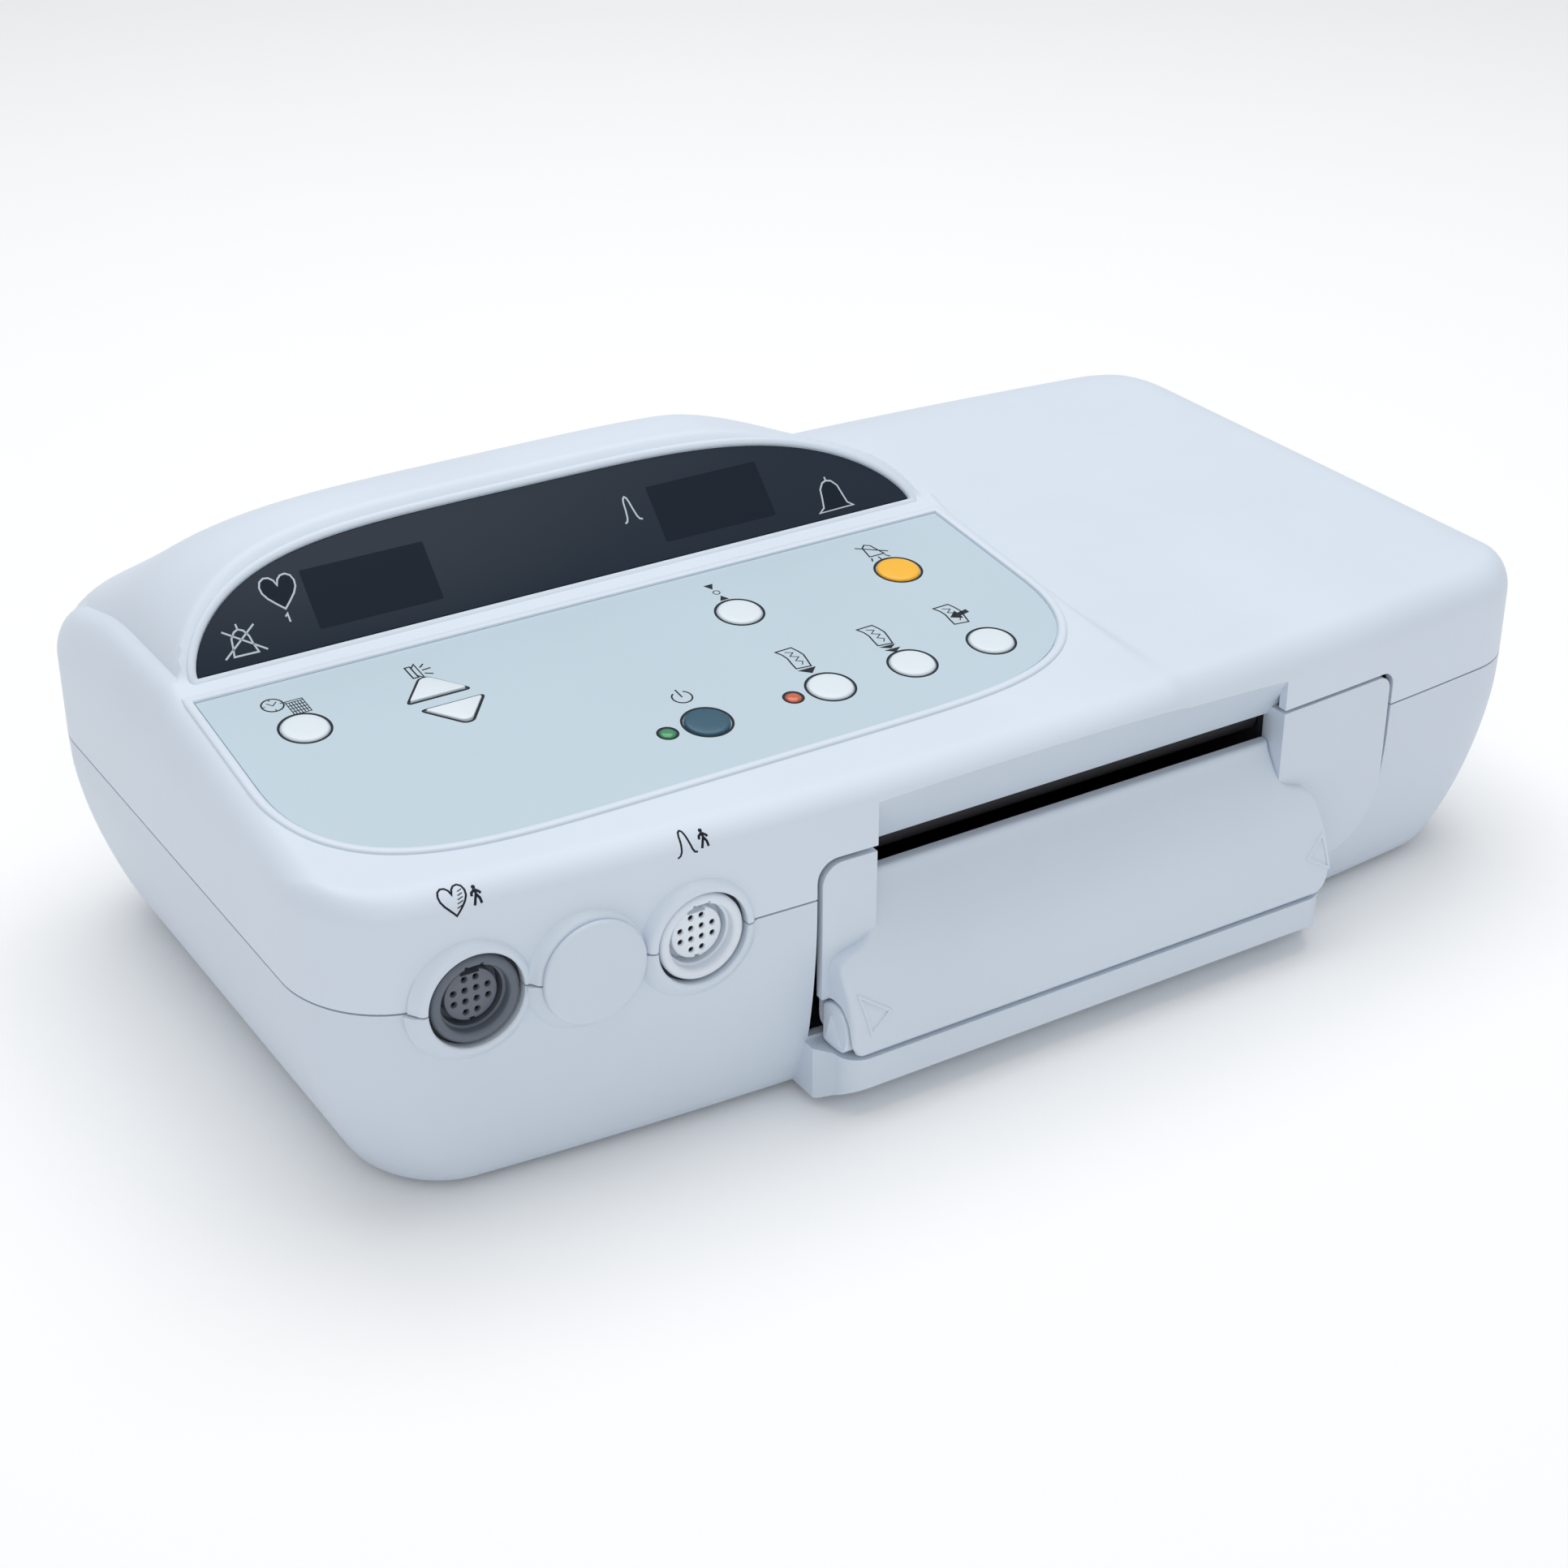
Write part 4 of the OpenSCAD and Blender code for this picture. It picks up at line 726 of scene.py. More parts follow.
def spun(name, profile, matrix, steps):
    """A turned piece from (radius, height) points about the local z axis."""
    turns = [2 * pi * i / steps for i in range(steps)]
    verts, faces = loft_mesh([[(r * cos(a), r * sin(a), h) for r, h in profile] for a in turns], cap=False)
    faces += band((steps - 1) * len(profile), 0, len(profile))
    obj = new_object(name, in_frame(matrix, verts), faces)
    weld(obj, 0.001)
    return face_out(obj)


def box_piece(name, low, high):
    """A closed box between two corners."""
    loop = [(low[0], low[1]), (high[0], low[1]), (high[0], high[1]), (low[0], high[1])]
    return prism(name, loop, low[2], high[2], Matrix.Identity(4))


def boss_half(i, upper):
    """Half of the soft cone round a socket place."""
    wide = 18.4 if upper else 19.6
    profile = [(0, -BOSS_DEPTH), (BOSS_R, -BOSS_DEPTH), (wide + 0.8, -4.2), (wide, -2.9), (wide - 0.8, -1.7),
               (BOSS_R + 0.5, -0.8), (BOSS_R, -0.3), (BOSS_R - 0.5, -0.06), (BOSS_R - 1, 0), (0, 0)]
    boss = spun("boss", profile, front_frame(SOCKET_X[i], boss_y(i)), 96)
    half = PART_GAP / 2
    keep = box_piece("keep", (-222, -150, half if upper else -30), (-60, -60, 30 if upper else -half))
    return cut(boss, keep, operation="INTERSECT")


def boss_cutters():
    """Stepped holes with a small chamfer at the boss face: two sockets and the cap."""
    floor_z, bore, far = -FLANGE_SUNK - FLANGE_T - GROOVE_DEPTH, SHANK_R + 0.3, 9
    wide = FLANGE_R + FLANGE_PLAY + GROOVE_W
    socket = [(0, -HOLE_DEPTH), (bore, -HOLE_DEPTH), (bore, floor_z), (wide, floor_z), (wide, -0.35), (wide + 0.35, 0),
              (wide + 0.35, far), (0, far)]
    plug = CAP_PLUG_R + 0.3
    blank = [(0, -HOLE_DEPTH), (plug, -HOLE_DEPTH), (plug, -0.1), (plug + 0.1, 0), (plug + 0.1, far), (0, far)]
    profiles = (socket, blank, socket)
    return [spun("hole", profile, front_frame(SOCKET_X[i], boss_y(i)), 96) for i, profile in enumerate(profiles)]


# Upper shell
top = top_block("top_shell", 0, PART_GAP / 2, FINE)
cut(top, top_block("inner", TOP_WALL, -5, CUTTER_STEP))
cut(top, *[boss_half(i, True) for i in range(3)], operation="UNION")
bay = prism("bay", bay_loop(0), *FRONT_CUT, front_frame(0, 0))
low_box = side_prism("low_box", [(-170, 40), (-170, -5), (-60, -5), (-60, 40)], -230, 230)
cut(bay, low_box, operation="INTERSECT")
cut(top, bay)
liner_loop = [(-FRONT_Y + 1.4, RECESS_TOP), (SLOT_BACK_Y, SLOT_TOP), (SLOT_BACK_Y + RECESS_WALL, SLOT_TOP),
              (SLOT_BACK_Y + RECESS_WALL, SLOT_TOP + 4), (-FRONT_Y + 5, RECESS_TOP + 1.5)]
liner = side_prism("liner", liner_loop, SLOT_LEFT - RECESS_WALL, SLOT_RIGHT + RECESS_WALL)
cut(liner, top_block("trim", 0.1, 0, CUTTER_STEP), operation="INTERSECT")
cut(top, liner, operation="UNION")
cut(top, side_prism("wedge", wedge_loop(), SLOT_LEFT, SLOT_RIGHT))
edge_a, edge_b = (np.array(point) for point in wedge_loop()[:2])
lean = unit(edge_b - edge_a)
lean_out = np.array((lean[1], -lean[0]))
# A thin sheet on the recess face over the paper slot, in the darker plastic: painted shade in the recess.
SHADE_SHEET_OUT, SHADE_SHEET_IN = 0.15, -0.5
shade_sheet_corners = ((edge_a, SHADE_SHEET_OUT), (edge_b, SHADE_SHEET_OUT), (edge_b, SHADE_SHEET_IN), (edge_a, SHADE_SHEET_IN))
face_loop = [tuple(edge + lean_out * rise) for edge, rise in shade_sheet_corners]
shade_sheet = side_prism("recess_shade_sheet", face_loop, SLOT_LEFT + 0.02, SLOT_RIGHT - 0.02)
cut(shade_sheet, top_block("trim", 0.03, 0, FINE), operation="INTERSECT")
settle(face_out(shade_sheet), RECESS_SHADE, "case")
cut(top, prism("pad_pocket", PAD_POCKET, -PAD_T, 6, DECK))
cut(top, prism("lens_pocket", LENS_POCKET, -1.4, 8, FACE))
cut(top, join("holes", boss_cutters()))
settle(top, SHELL, "case")
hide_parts("top_case")

# Printed signs over the sockets
SIGN_TILT = rot_x(radians(55))
HEART_AT = shift(-184.2, -114.8, 30.3) @ SIGN_TILT
CURVE_AT = shift(-115.6, -120.4, 30.1) @ SIGN_TILT
SKIN_STEP, FIGURE_H, HEAD_UP = 0.6, 5.4, 2.25


def heart(x, y, w, h):
    """Outline of a heart with its notch at the top."""
    side = [(0.0, 0.22), (0.06, 0.38), (0.17, 0.48), (0.31, 0.5), (0.44, 0.42), (0.5, 0.26), (0.48, 0.08), (0.38, -0.1),
            (0.2, -0.3), (0.0, -0.5)]
    return scaled(side + [(-u, v) for u, v in side[-2:0:-1]], x, y, w, h)


def walker(x, y, h):
    """Strokes of a small walking figure."""
    parts = [[(0, 0.28), (0.02, 0.0)], [(0, 0.28), (-0.2, 0.14), (-0.24, -0.02)],
             [(0, 0.28), (0.2, 0.12), (0.26, 0.02)], [(0.0, 0.02), (-0.1, -0.2), (-0.2, -0.5)],
             [(0.02, 0.02), (0.14, -0.2), (0.18, -0.48)]]
    return open_strokes(*[scaled(part, x, y, h, h) for part in parts])


def hump(x, y, w, h):
    """Open bell-shaped curve."""
    curve = [(-0.5, -0.5), (-0.36, -0.44), (-0.28, -0.3), (-0.22, 0.0), (-0.19, 0.28), (-0.13, 0.44), (-0.03, 0.5),
             (0.06, 0.44), (0.12, 0.28), (0.19, -0.05), (0.26, -0.3), (0.35, -0.43), (0.5, -0.47)]
    return scaled(curve, x, y, w, h)


for sign, at, lines, (u, v) in (("heart_sign", HEART_AT, closed_strokes(heart(0, 0, 7.8, 8.2)), (6.4, -0.1)),
                                ("curve_sign", CURVE_AT, open_strokes(hump(0, 0, 6.2, 7.4)), (5.6, -0.2))):
    skin = on_piece(top, at)
    inked(sign, lines, 0.62, skin, 0.06, SKIN_STEP)
    inked(sign + "_figure", walker(u, v, FIGURE_H), 0.8, skin, 0.07, SKIN_STEP)
    inked(sign + "_head", closed_strokes(circle(u, v + HEAD_UP, 0.3, 12)), 0.6, skin, 0.08, SKIN_STEP)
hatch = open_strokes(*[[(0.4 + 0.35 * i, -2.2 + 1.1 * i), (2.3 + 0.2 * i, -1.6 + 1.05 * i)] for i in range(5)])
inked("heart_hatch", hatch, 0.3, on_piece(top, HEART_AT), 0.06, SKIN_STEP)

# Lower shell
base = base_block("base_shell", FINE)
cut(base, lip_block("lip"), operation="UNION")
cut(base, base_hollow_block("inner"))
cut(base, *[boss_half(i, False) for i in range(3)], operation="UNION")
inlet_pad = box_piece("inlet_pad", (INLET_X - 25, INLET_Y - 12, INLET_Z - 16), (INLET_X + 25, INLET_Y, INLET_Z + 16))
cut(base, inlet_pad, operation="UNION")
low_bay = prism("bay", bay_loop(0), 70, 160, front_frame(0, 0))
cut(low_bay, box_piece("high", (-230, -200, BAY_LOW), (230, -40, 20)), operation="INTERSECT")
cut(base, low_bay)
inlet_low, inlet_high = (INLET_X - 15.4, INLET_Y - 30, INLET_Z - 11.4), (INLET_X + 15.4, INLET_Y + 30, INLET_Z + 11.4)
cut(base, box_piece("inlet_hole", inlet_low, inlet_high))
cut(base, join("holes", boss_cutters()))


def rod(x, y, z, radius, height, steps):
    """An upright cylinder that cuts a hole."""
    return spun("rod", [(0, 0), (radius, 0), (radius, height), (0, height)], shift(x, y, z), steps)


under = [rod(px, py, -BASE_DEPTH - 5, WELL_R, 20, 32) for px, py in POSTS]
under += [rod(px, py, -BASE_DEPTH - 1, FOOT_R + 0.2, 1.6, 48) for px, py in FEET]
under += [rod(hx, hy, -BASE_DEPTH - 1, 1.5, 8, 20) for hx, hy in speaker_holes()]
cut(base, join("under", under))
settle(base, SHELL_LOW, "case")
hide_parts("base_case")

# Rims round keypad and window
for rim_name, rim_loop, rim_w, rim_h, at in (("keypad_rim", PAD_POCKET, 2.9, 0.95, DECK),
                                             ("window_rim", LENS_POCKET, 2.8, 1.1, FACE)):
    rim = sweep_ring(rim_name, rim_loop, rim_profile(0.1, rim_w, rim_h), at)
    settle(face_out(rim), SHELL, "case", 50)

# Keypad sheet with its openings
ROUND_KEYS = {"clock_key": (-187.4, -25.7), "reference_key": (-41, -25.7), "alarm_key": (18.7, -25.7),
              "power_key": (-81.6, -74.5), "record_key": (-38.5, -74.5), "speed_key": (-8.7, -74.5),
              "mark_key": (20.9, -74.5)}
VOLUME_AT = (-144.6, -30.0)
LAMPS = {"power_lamp": (-95.0, -74.5), "record_lamp": (-51.7, -74.5)}
KEY_R, KEY_PROUD, KEY_PLAY, LAMP_R = 7.0, 0.7, 0.3, 2.6


def volume_loop(direction, grow, corner_r=1.3):
    """Rounded triangle of a volume key."""
    w, low, high, aside = 9.4 + grow * 1.7, 2.9 - grow, 12.6 + grow * 1.4, -direction
    x0, y0 = VOLUME_AT
    points = [(-w + aside, direction * low), (w + aside, direction * low),
              (1.4 + aside, direction * high), (-1.4 + aside, direction * high)]
    return round_loop([(x0 + x, y0 + y) for x, y in points], corner_r)


def round_loop(points, r, steps=5):
    """Closed outline with each corner rounded by a short curve."""
    out = []
    n = len(points)
    for i in range(n):
        p, a, b = (np.array(points[j % n], float) for j in (i, i - 1, i + 1))
        reach = min(r, norm(a - p) * 0.45, norm(b - p) * 0.45)
        start, end = p + unit(a - p) * reach, p + unit(b - p) * reach
        for t in (k / steps for k in range(steps + 1)):
            out.append(tuple(start * (1 - t) ** 2 + p * 2 * t * (1 - t) + end * t ** 2))
    return out


holes = [circle(x, y, KEY_R + KEY_PLAY, 56) for x, y in ROUND_KEYS.values()]
holes += [circle(x, y, LAMP_R + 0.2, 32) for x, y in LAMPS.values()]
holes += [volume_loop(d, KEY_PLAY) for d in (1, -1)]
sheet_at = DECK @ shift(0, 0, -PAD_T)
overlay = sheet_mesh("keypad_sheet", [pad_loop(PAD_HW, PAD_LEN, 0)] + holes, PAD_T, sheet_at, 0.12, FILM, "case")
overlay.data.set_sharp_from_angle(angle=radians(8))
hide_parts("keypad_overlay")

# Printed lines on the keypad
on_deck = on_plane(DECK)
rings = closed_strokes(*[circle(x, y, KEY_R + KEY_PLAY + 0.38, 64) for x, y in ROUND_KEYS.values()],
                       *[circle(x, y, LAMP_R + 0.45, 36) for x, y in LAMPS.values()],
                       *[volume_loop(d, KEY_PLAY + 0.3, 1.6) for d in (1, -1)])
inked("key_outlines", rings, 0.8, on_deck)

# Chart paper with its trace, the signs of the three recorder keys
PAPER_X, PAPER_Y = (-40.1, -10.3, 18.5), -56.4
PAPER = [(-3.3, 5.7), (-2.2, 3.4), (-1.8, 1.0), (-2.2, -2.2), (-2.4, -5.0),
         (2.6, -5.6), (3.4, -1.8), (3.9, 0.9), (3.4, 3.4), (2.5, 5.9)]
TRACE = [(-0.8, 4.4), (1.5, 3.2), (-0.4, 1.8), (1.9, 0.4), (-0.1, -1.0), (1.7, -2.2), (0.6, -3.8)]
signs = closed_strokes(*[scaled(PAPER, x, PAPER_Y) for x in PAPER_X])
thin = open_strokes(*[scaled(TRACE, x, PAPER_Y) for x in PAPER_X])

# Small printed areas
MARKS = {
    "paper_arrow": [
        [(-42.8, -62.6), (-39.3, -65.6), (-36.4, -62.8)], [(-13.0, -62.4), (-9.8, -64.4), (-7.2, -62.6)],
        [(-12.4, -64.6), (-9.6, -66.8), (-6.7, -64.8)],
        [(17.2, -57.4), (20.9, -59.4), (20.9, -57.9), (24.6, -57.2), (24.4, -55.4), (20.8, -56.0), (20.6, -54.6)]],
    "reference_mark": [
        [(-43.3, -7.3), (-41.7, -10.3), (-40.0, -7.3)], [(-43.0, -17.3), (-39.8, -17.3), (-41.3, -14.6)]],
}
for mark, loops in MARKS.items():
    for i, loop in enumerate(loops):
        sheet_mesh(mark + "_" + str(i + 1), [loop], 0.05, DECK, 0, INK, "case")

# Clock, calendar, loudspeaker, crossed bell and power signs
CLOCK_X, CLOCK_Y = -191.0, -10.7
DAYS_LEFT, DAYS_RIGHT, DAYS_TOP, DAYS_LOW = -187.2, -181.8, -10.7, -18.0
thin += closed_strokes(circle(-41.5, -12.4, 1.1, 20))
signs += closed_strokes(circle(CLOCK_X, CLOCK_Y, 3.3, 36))
thin += open_strokes([(-192.3, -9.2), (-191.0, -11.0), (-189.3, -9.4)])
for a, b in ((0, 1), (1, 0), (0, -1), (-1, 0)):
    thin += open_strokes([(CLOCK_X + a * r, CLOCK_Y + b * r) for r in (2.3, 3.1)])
thin += closed_strokes([(DAYS_LEFT, DAYS_TOP), (DAYS_RIGHT, DAYS_TOP), (DAYS_RIGHT, DAYS_LOW), (DAYS_LEFT, DAYS_LOW)])
thin += open_strokes(*[[(x, -11.6), (x, DAYS_LOW)] for x in (-186.3, -185.4, -184.5, -183.6, -182.7)],
                     *[[(DAYS_LEFT, y), (DAYS_RIGHT, y)] for y in (-11.6, -13.2, -14.8, -16.4)])
signs += closed_strokes([(-148.2, -9.4), (-146.5, -9.4), (-146.5, -15.6), (-148.2, -15.6)])
signs += open_strokes([(-146.5, -10.4), (-144.9, -8.6), (-144.9, -16.6), (-146.5, -14.6)],
                      [(-143.9, -11.0), (-142.2, -9.6)], [(-143.9, -12.6), (-141.0, -12.4)],
                      [(-143.9, -14.4), (-141.6, -15.7)])
signs += closed_strokes([(14.8, -14.9), (15.2, -12.0), (15.6, -9.2), (17.2, -7.7), (18.9, -8.8), (19.6, -11.8),
                         (20.4, -14.9)])
signs += open_strokes([(13.3, -8.2), (22.4, -14.2)], [(14.9, -15.9), (14.1, -17.7)], [(17.4, -15.9), (17.5, -17.8)],
                      [(20.0, -15.7), (21.2, -17.3)])
signs += open_strokes(circle(-81.5, -59.6, 3.1, 30, 122, 418), [(-81.5, -55.3), (-81.5, -59.6)])
inked("keypad_signs", signs, 0.55, on_deck)
inked("keypad_fine_signs", thin, 0.34, on_deck)

# Keys and lamps, with their stems down to the switches
KEY_FLANGE_T, KEY_TRAVEL, SWITCH_H, STEM_R = 1.4, 1, 3.4, 2
PAD_BOARD_Z = -TOP_WALL - KEY_FLANGE_T - 0.3 - KEY_TRAVEL - SWITCH_H
STEM_END = PAD_BOARD_Z + 2.2 + KEY_TRAVEL + 0.1
SKIRT_TOP, SKIRT_LOW = -TOP_WALL - 0.1, -TOP_WALL - 1.5
for key, (x, y) in ROUND_KEYS.items():
    dome = [(0, KEY_PROUD), (3.5, KEY_PROUD - 0.02), (5.6, KEY_PROUD - 0.08), (6.4, KEY_PROUD - 0.2),
            (6.85, KEY_PROUD - 0.45), (KEY_R, KEY_PROUD - 0.8)]
    skirt = [(KEY_R, SKIRT_TOP), (KEY_R + 1.4, SKIRT_TOP), (KEY_R + 1.4, SKIRT_LOW), (STEM_R, SKIRT_LOW),
             (STEM_R, STEM_END), (0, STEM_END)]
    obj = spun(key + "_cap", dome + skirt, DECK @ shift(x, y, 0), 56)
    slot_name = {"alarm_key": "yellow_key", "power_key": "teal_key"}.get(key, "white_key")
    settle(obj, CAD_LOOKS.get(key, WHITE_KEY), key, 40)
    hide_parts(key)
for key, direction in (("volume_up_key", 1), ("volume_down_key", -1)):
    cap = prism(key + "_cap", volume_loop(direction, 0), -TOP_WALL - 0.2, KEY_PROUD, DECK)
    bevel(cap, 0.45, 3, 60)
    flange = prism("flange", volume_loop(direction, 1.1), SKIRT_LOW, SKIRT_TOP, DECK)
    at = DECK @ shift(VOLUME_AT[0] - direction, VOLUME_AT[1] + direction * 6.6, 0)
    stem = spun("stem", [(0, STEM_END), (STEM_R, STEM_END), (STEM_R, -TOP_WALL - 0.3), (0, -TOP_WALL - 0.3)], at, 24)
    obj = join(key + "_cap", [cap, flange, stem])
    settle(obj, WHITE_KEY, key, 40)
    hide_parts(key)
for lamp_name, (x, y) in LAMPS.items():
    look, slot_name = (GREEN_LAMP, "green_lamp") if lamp_name == "power_lamp" else (RED_LAMP, "red_lamp")
    dome = [(0, 0.45), (1.0, 0.4), (1.8, 0.25), (2.3, 0.0), (LAMP_R, -0.4), (LAMP_R, PAD_BOARD_Z), (0, PAD_BOARD_Z)]
    obj = spun(lamp_name + "_dome", dome, DECK @ shift(x, y, 0), 40)
    settle(obj, look, "case", 40)
    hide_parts(lamp_name)

# Window
lens_at = FACE @ shift(0, 0, LENS_PROUD - LENS_T)
GLASS = FACE @ shift(0, 0, LENS_PROUD)
lens = sheet_mesh("window_pane", [lens_loop(LENS_HW, LENS_LEN, 0)], LENS_T, lens_at, 0.2, LENS, "case")
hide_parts("display_lens")
for digits_name, (x, v) in (("left_digits_tint", (-84.8, 5.4)), ("right_digits_tint", (35.2, 5.6))):
    loop = [(x, v), (x + 41, v), (x + 41, v + 19.4), (x, v + 19.4)]
    sheet_mesh(digits_name, [round_loop(loop, 0.6)], 0.04, GLASS, 0, WINDOW, "case")

# Printed signs on the window
left_bell = [(-113.0, 3.4), (-112.4, 6.4), (-112.0, 9.0), (-110.6, 10.9), (-109.2, 11.5), (-107.7, 10.8), (-106.5, 8.8),
             (-106.1, 6.2), (-105.3, 3.3)]
right_bell = [(91.9, 2.3), (94.0, 3.7), (94.8, 7.0), (95.4, 10.2), (97.0, 12.2), (98.6, 12.8), (100.4, 12.3),
              (102.0, 10.3), (102.6, 7.0), (103.2, 3.9), (105.0, 2.5)]
big_heart = heart(-92.8, 19.6, 11.2, 10.8)
pale = closed_strokes(big_heart, left_bell, right_bell)
pale += open_strokes([(-114.2, 11.8), (-102.4, 3.4)], [(-104.0, 12.0), (-115.8, 3.2)], [(-109.3, 13.3), (-109.2, 11.6)],
                     [(-93.7, 11.8), (-92.8, 12.6), (-92.8, 9.9)], hump(27.0, 19.1, 6.4, 8.8),
                     [(98.6, 13.0), (98.6, 14.1)])
ribbons("window_signs", pale, 0.62, on_plane(GLASS), LENS_INK, "case", 0.05)
for sign, loop in (("heart_fill", big_heart), ("bell_fill", right_bell)):
    sheet_mesh(sign, [loop], 0.03, GLASS, 0, WINDOW, "case")

# Sockets and cap
CONTACT_ROWS = [(-1, 1), (-3, -1, 1, 3), (-3, -1, 1, 3), (-1, 1)]
CONTACT_STEP, CONTACT_R, ISLAND_SUNK, WELL_BORE, SHANK_END = 3.5, 0.9, 3.3, 9.7, -18.4
# A black ring at the foot of the gap between each socket ring and its boss: painted shade that gives the dark crescent
# in the gap.
GAP_SHADE_R, GAP_SHADE_T, SHANK_SHADE_R = FLANGE_R + 0.95, 1.1, SHANK_R + 0.1
RING = [(FLANGE_R, -FLANGE_T), (FLANGE_R, -0.9), (13.35, -0.35), (12.9, -0.05), (12.3, 0.08), (11.6, 0.08),
        (11.0, -0.05), (10.6, -0.35), (MOUTH_R, -0.9), (MOUTH_R, -3.0), (WELL_BORE, -3.3), (WELL_BORE, SHANK_END),
        (SHANK_R, SHANK_END), (SHANK_R, -FLANGE_T)]
GAP_SHADE = [(GAP_SHADE_R, -FLANGE_T), (GAP_SHADE_R, -FLANGE_T - GAP_SHADE_T), (SHANK_SHADE_R, -FLANGE_T - GAP_SHADE_T),
        (SHANK_SHADE_R, -FLANGE_T - 0.02), (FLANGE_R - 0.4, -FLANGE_T - 0.02), (FLANGE_R + 0.1, -FLANGE_T + 0.2)]
KEYWAY = [(-2.9, 9), (2.9, 9), (2.9, 11.3), (1.9, 11.3), (1.9, 10.9), (-1.9, 10.9), (-1.9, 11.3), (-2.9, 11.3)]
ISLAND = [(0, 0), (7.6, 0), (7.95, -0.12), (8.1, -0.45), (8.1, -4), (9.65, -4), (9.65, -14), (0, -14)]
ISLAND_CUTS = ([(-2.9, 6.6), (2.9, 6.6), (2.9, 10), (-2.9, 10)], [(-0.8, -10), (0.8, -10), (0.8, -7.2), (-0.8, -7.2)])
PIN_HOLE = [(0, -6), (CONTACT_R, -6), (CONTACT_R, -0.25), (CONTACT_R + 0.25, 0.05), (CONTACT_R + 0.25, 1), (0, 1)]
TUBE = [(0, -5.9), (CONTACT_R - 0.03, -5.9), (CONTACT_R - 0.03, -0.7), (0.45, -0.7), (0.4, -1.6), (0, -1.7)]
for i, side_name, tone, ring_look, pin_look in ((0, "ultrasound", "grey", GREY_SOCKET, GREY_INSERT),
                                                (2, "toco", "white", WHITE_SOCKET, WHITE_INSERT)):
    at = front_frame(SOCKET_X[i], boss_y(i) + FLANGE_SUNK)
    ring = spun(side_name + "_ring", RING, at, 96)
    # Black ring in the gap round the flange: painted shade.
    settle(spun(side_name + "_gap_shade", GAP_SHADE, at, 96), BLACK, "case", 40)
    cut(ring, prism("slot", KEYWAY, -6.5, 3, at))
    settle(ring, ring_look, "case", 40)
    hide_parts(side_name + "_socket")
    at = front_frame(SOCKET_X[i], boss_y(i) + FLANGE_SUNK + ISLAND_SUNK)
    island = spun(side_name + "_island", ISLAND, at, 96)
    cut(island, *[prism("key", loop, -4, 2, at) for loop in ISLAND_CUTS])
    spots = [at @ shift(c * CONTACT_STEP / 2, (1.5 - r) * CONTACT_STEP, 0)
             for r, row in enumerate(CONTACT_ROWS) for c in row]
    cut(island, join("pins", [spun("pin", PIN_HOLE, spot, 20) for spot in spots]))
    # Dark tubes fill the pin holes: painted shade inside the holes.
    tubes = [spun("tube", TUBE, spot, 16) for spot in spots]
    settle(join(side_name + "_pin_hole_shade", tubes), HOLE_SHADE, "case", 40)
    settle(island, pin_look, "case", 40)
    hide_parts(side_name + "_insert")
CAP = [(0, 2.3), (13.9, 2.3), (15.2, 2.2), (15.9, 1.9), (16.2, 1.5), (CAP_R, 1.0), (16.25, 0.7), (16.0, 0.55),
       (15.3, 0.5), (15.2, 0.05), (CAP_PLUG_R, 0.05), (CAP_PLUG_R, -10), (9, -10), (9, 0.02), (0, 0.02)]
cap = spun("blank_disc", CAP, front_frame(SOCKET_X[1], boss_y(1)), 96)
settle(cap, SHELL_LOW, "case", 40)
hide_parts("blank_cap")

# Drawer front
PLATE_TOP, PLATE_LOW = -0.8, -51.0
PLATE_PROFILE = [(PLATE_TOP, -117.0), (-4, -118.2), (-9, -121.1), (-13.3, -123.9), (-18.2, -127.5), (-23, -131.2),
                 (-28.6, -134.9), (-34.7, -137.3), (-40, -138.2), (-45, -138.2), (-48.6, -137.6), (-50.2, -136.6),
                 (PLATE_LOW, -135.2)]
LEFT_EDGE = [(2.4, -52.9), (-6, -53.1), (-11, -54), (-15, -55.6), (-17.6, -58), (-19.2, -61.5), (-20.2, -65.5),
             (-21.4, -68.4), (-24, -69.9), (-30, -70), (-38, -70), (-46, -69.3), (-49.7, -67), (PLATE_LOW, -66.3)]
RIGHT_EDGE = [(2.4, 102.1), (-6, 102.4), (-11, 102.9), (-14, 104), (-15.8, 107.5), (-16.8, 111), (-18.6, 113.4),
              (-21, 114), (-30, 114), (-38, 114), (-46, 113.4), (-49.7, 111.6), (PLATE_LOW, 111.0)]
ROLL_LEFT, ROLL_RIGHT = -70.0, 114.0
SHOULDER_LOW, FINGER_LOW = -70, -35.0


def along(table, z):
    """Value at z in a table of (falling z, value), with smooth joins."""
    zs, values = np.array(table, float).T
    return cubic(-zs, values, -z)


def plate_back(z):
    """Rear face of the plate, which steps forward at the foot."""
    if z < -49.4:
        return -131.0
    return -113.4 - 6.1 * min(1, max(0, (-6 - z) / 18))


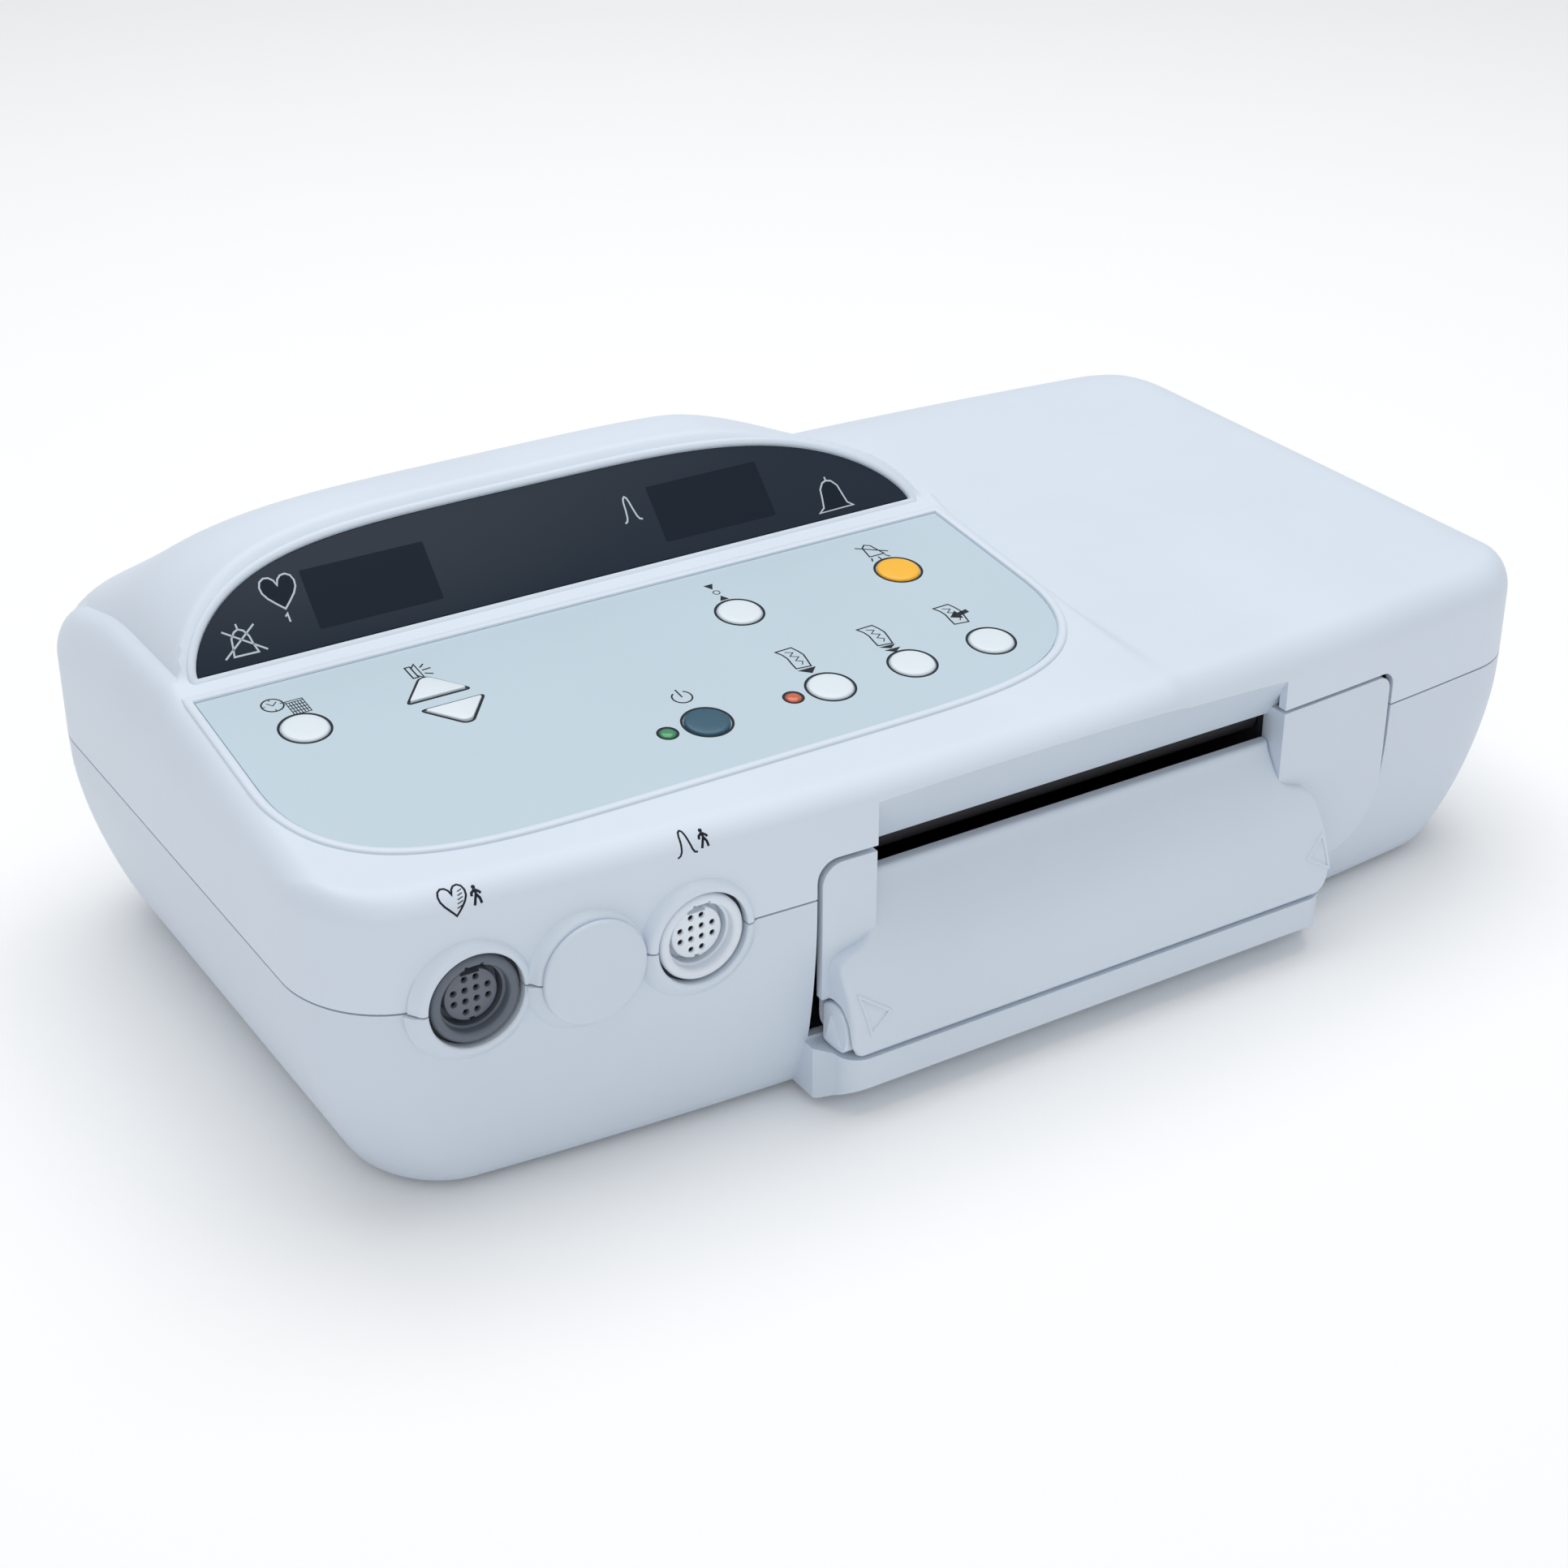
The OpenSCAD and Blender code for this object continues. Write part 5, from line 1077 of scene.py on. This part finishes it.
def plate_block(name):
    """Centre plate and roll, with rounded ends."""
    zs = [PLATE_TOP, -0.9, -1.2, -1.8, *np.arange(-2.7, -49.3, -1.1), -49.45, -50.2, -50.6, -50.85, PLATE_LOW]
    edge_round = {PLATE_TOP: 1.3, -0.9: 0.65, -1.2: 0.25, PLATE_LOW: 0.8, -50.85: 0.4, -50.6: 0.15}
    end_r = 1.7
    ends = [(end_r * (1 - cos(a)), end_r * (1 - sin(a))) for a in np.radians([0, 15, 32, 52, 72, 90])]
    middle = np.linspace(0.03, 0.97, 46)
    rows = []
    for kind, value in [("l", e) for e in ends] + [("m", m) for m in middle] + [("r", e) for e in ends[::-1]]:
        front, back = [], []
        for z in zs:
            x0, x1, y = along(LEFT_EDGE, z), along(RIGHT_EDGE, z), along(PLATE_PROFILE, z)
            if kind == "l":
                x, off = x0 + value[0], value[1]
            elif kind == "r":
                x, off = x1 - value[0], value[1]
            else:
                x, off = x0 + end_r + (x1 - x0 - 2 * end_r) * value, 0.0
            front.append((x, y + max(off, edge_round.get(float(z), 0.0)), z))
            back.append((x, plate_back(z), z))
        rows.append(front + back[::-1])
    verts, faces = loft_mesh(rows, cap=False)
    m, n = len(rows), len(rows[0])
    for first in (0, (m - 1) * n):
        for k in range(n // 2 - 1):
            faces.append((first + k, first + k + 1, first + n - 2 - k, first + n - 1 - k))
    return face_out(new_object(name, verts, faces))


def shoulder_block(name, loop, x0, x1, side_x):
    """A shoulder flush with the case wall, with its side cheek beside the plate."""
    xs = np.linspace(x0 - 1, x1 + 1, 24)
    rows = []
    for x in xs:
        y = wall_y(x) + 0.1
        rows.append([(x, y, SHOULDER_LOW), (x, y, 30), (x, wall_y(x) + 3.1, 30), (x, wall_y(x) + 3.1, SHOULDER_LOW)])
    block = face_out(new_object(name, *loft_mesh(rows)))
    cheek = box_piece("cheek", (side_x[0], -123.0, -30), (side_x[1], -113.3, 12))
    cut(block, cheek, operation="UNION")
    cut(block, prism("outline", loop, *FRONT_CUT, front_frame(0, 0)), operation="INTERSECT")
    return bevel(block, 0.7, 3, 40)


def clip_loop(loop, x0, x1, z0):
    """The part of the bay outline between two x and above z0, by clamping."""
    out = [(min(max(x, x0), x1), max(z, z0)) for x, z in loop]
    kept = [out[0]]
    for p in out[1:]:
        if dist(p, kept[-1]) > 0.01:
            kept.append(p)
    return kept


LATCH_LOOP = round_loop([(-122.2, -37.0), (-127.5, -35.0), (-131.6, -35.4), (-134.4, -38.6), (-135.7, -43.2),
                         (-135.1, -47.2), (-132.8, -49.9), (-126.6, -50.5), (-122.2, -50.2)], 1.6)


def grown(loop, g):
    """An anticlockwise outline, grown by g."""
    p = np.array(loop, float)
    n = len(p)
    out = []
    for i in range(n):
        t = unit(p[(i + 1) % n] - p[i - 1])
        out.append(tuple(p[i] + g * np.array([t[1], -t[0]])))
    return out


plate = plate_block("plate")
pocket_loop = grown(LATCH_LOOP, 1.3)
cut(plate, *[side_prism("pocket", pocket_loop, *ends) for ends in
             ((ROLL_LEFT - 8, ROLL_LEFT + 16), (ROLL_RIGHT - 16, ROLL_RIGHT + 8))])
gap = 1.3
left_loop = clip_loop(bay_loop(gap + 0.6), BAY_LEFT + gap + 0.6, SLOT_LEFT - 0.2, FINGER_LOW)
left_part = shoulder_block("left_shoulder", left_loop, BAY_LEFT, SLOT_LEFT, (SLOT_LEFT - 2.2, SLOT_LEFT + 0.2))
right_loop = clip_loop(bay_loop(gap), SLOT_RIGHT - 0.1, BAY_RIGHT - gap, BAY_LOW + gap)
right_part = shoulder_block("right_shoulder", right_loop, SLOT_RIGHT, BAY_RIGHT, (SLOT_RIGHT - 0.1, SLOT_RIGHT + 2.3))
door = join("drawer_door", [plate, left_part, right_part])
settle(door, DOOR, "drawer", 38)
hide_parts("drawer_front")


def plate_surface(points):
    """Point and outward normal on the plate at (x, z)."""
    at, normals = [], []
    for x, z in points:
        y0 = along(PLATE_PROFILE, z)
        slope = (along(PLATE_PROFILE, z + 0.2) - along(PLATE_PROFILE, z - 0.2)) / 0.4
        at.append((x, y0, z))
        normals.append(unit(np.array([0, -1.0, slope])))
    return np.array(at), np.array(normals)


arrows = closed_strokes([(-66.6, -29.6), (-56.9, -36.3), (-63.8, -41.9)],
                        [(111.6, -29.4), (113.0, -40.4), (104.6, -35.0)])
ribbons("drawer_arrows", arrows, 0.95, plate_surface, DOOR, "drawer", 0.45, 1.0, 0.1)

LATCH_T, LATCH_PROUD = 9, 0.6
RIB_LOOP = round_loop([(-127.2, -38.4), (-133.4, -47.4), (-124.0, -49.0)], 1.0)
for latch_name, x0, face in (("left_latch", ROLL_LEFT - LATCH_PROUD, -1),
                             ("right_latch", ROLL_RIGHT + LATCH_PROUD - LATCH_T, 1)):
    tab = bevel(side_prism(latch_name + "_tab", LATCH_LOOP, x0, x0 + LATCH_T), 0.8, 3, 50)
    end_x = x0 if face < 0 else x0 + LATCH_T
    raised = bevel(side_prism("rib", RIB_LOOP, *sorted((end_x - face * 0.3, end_x + face * 0.6))), 0.35, 2, 50)
    obj = join(latch_name + "_tab", [tab, raised])
    settle(obj, DOOR, latch_name, 38)
    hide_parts(latch_name)

# Camera at the photograph's viewpoint
CAMERA_AT = (-455.1, -714.2, 425.6)
YAW, PITCH = radians(32.08), radians(28.87)
FOCAL_PX, PHOTO_PX, SENSOR = 3500.0, 1932.0, 36.0
camera_data = bpy.data.cameras.new("camera")
camera_data.sensor_width = SENSOR
camera_data.lens = FOCAL_PX / PHOTO_PX * SENSOR
camera = add_object("camera", camera_data)
camera.location = place([CAMERA_AT])[0]
camera.rotation_euler = (pi / 2 - PITCH, 0, -YAW)
scene.camera = camera

# Floor and light
floor_mesh = bpy.data.meshes.new("floor")
floor_mesh.from_pydata([(-8, -8, 0), (8, -8, 0), (8, 8, 0), (-8, 8, 0)], [], [(0, 1, 2, 3)])
floor_mesh.materials.append(plastic("floor_paint", (255, 255, 255), 0.8, 0.02, 60, 0.002))
floor = add_object("floor", floor_mesh)

world = bpy.data.worlds.new("studio")
scene.world = world
world.use_nodes = True
sky = world.node_tree.nodes["Background"]
sky.inputs["Color"].default_value = (0.97, 0.985, 1.0, 1)
sky.inputs["Strength"].default_value = 0.56
scene.view_settings.view_transform = "Standard"


def softbox(name, at, target, size, power):
    """A square area light that looks at a point."""
    lamp = bpy.data.lights.new(name, "AREA")
    lamp.size, lamp.energy = size, power
    obj = add_object(name, lamp)
    obj.location = at
    obj.rotation_euler = (Vector(target) - Vector(at)).to_track_quat("-Z", "Y").to_euler()


softbox("overhead", (0.15, 0.3, 1.7), (0, 0, 0.05), 1.6, 17)
softbox("front_fill", (-0.9, -1.6, 0.9), (0, 0, 0.08), 1.2, 3.6)
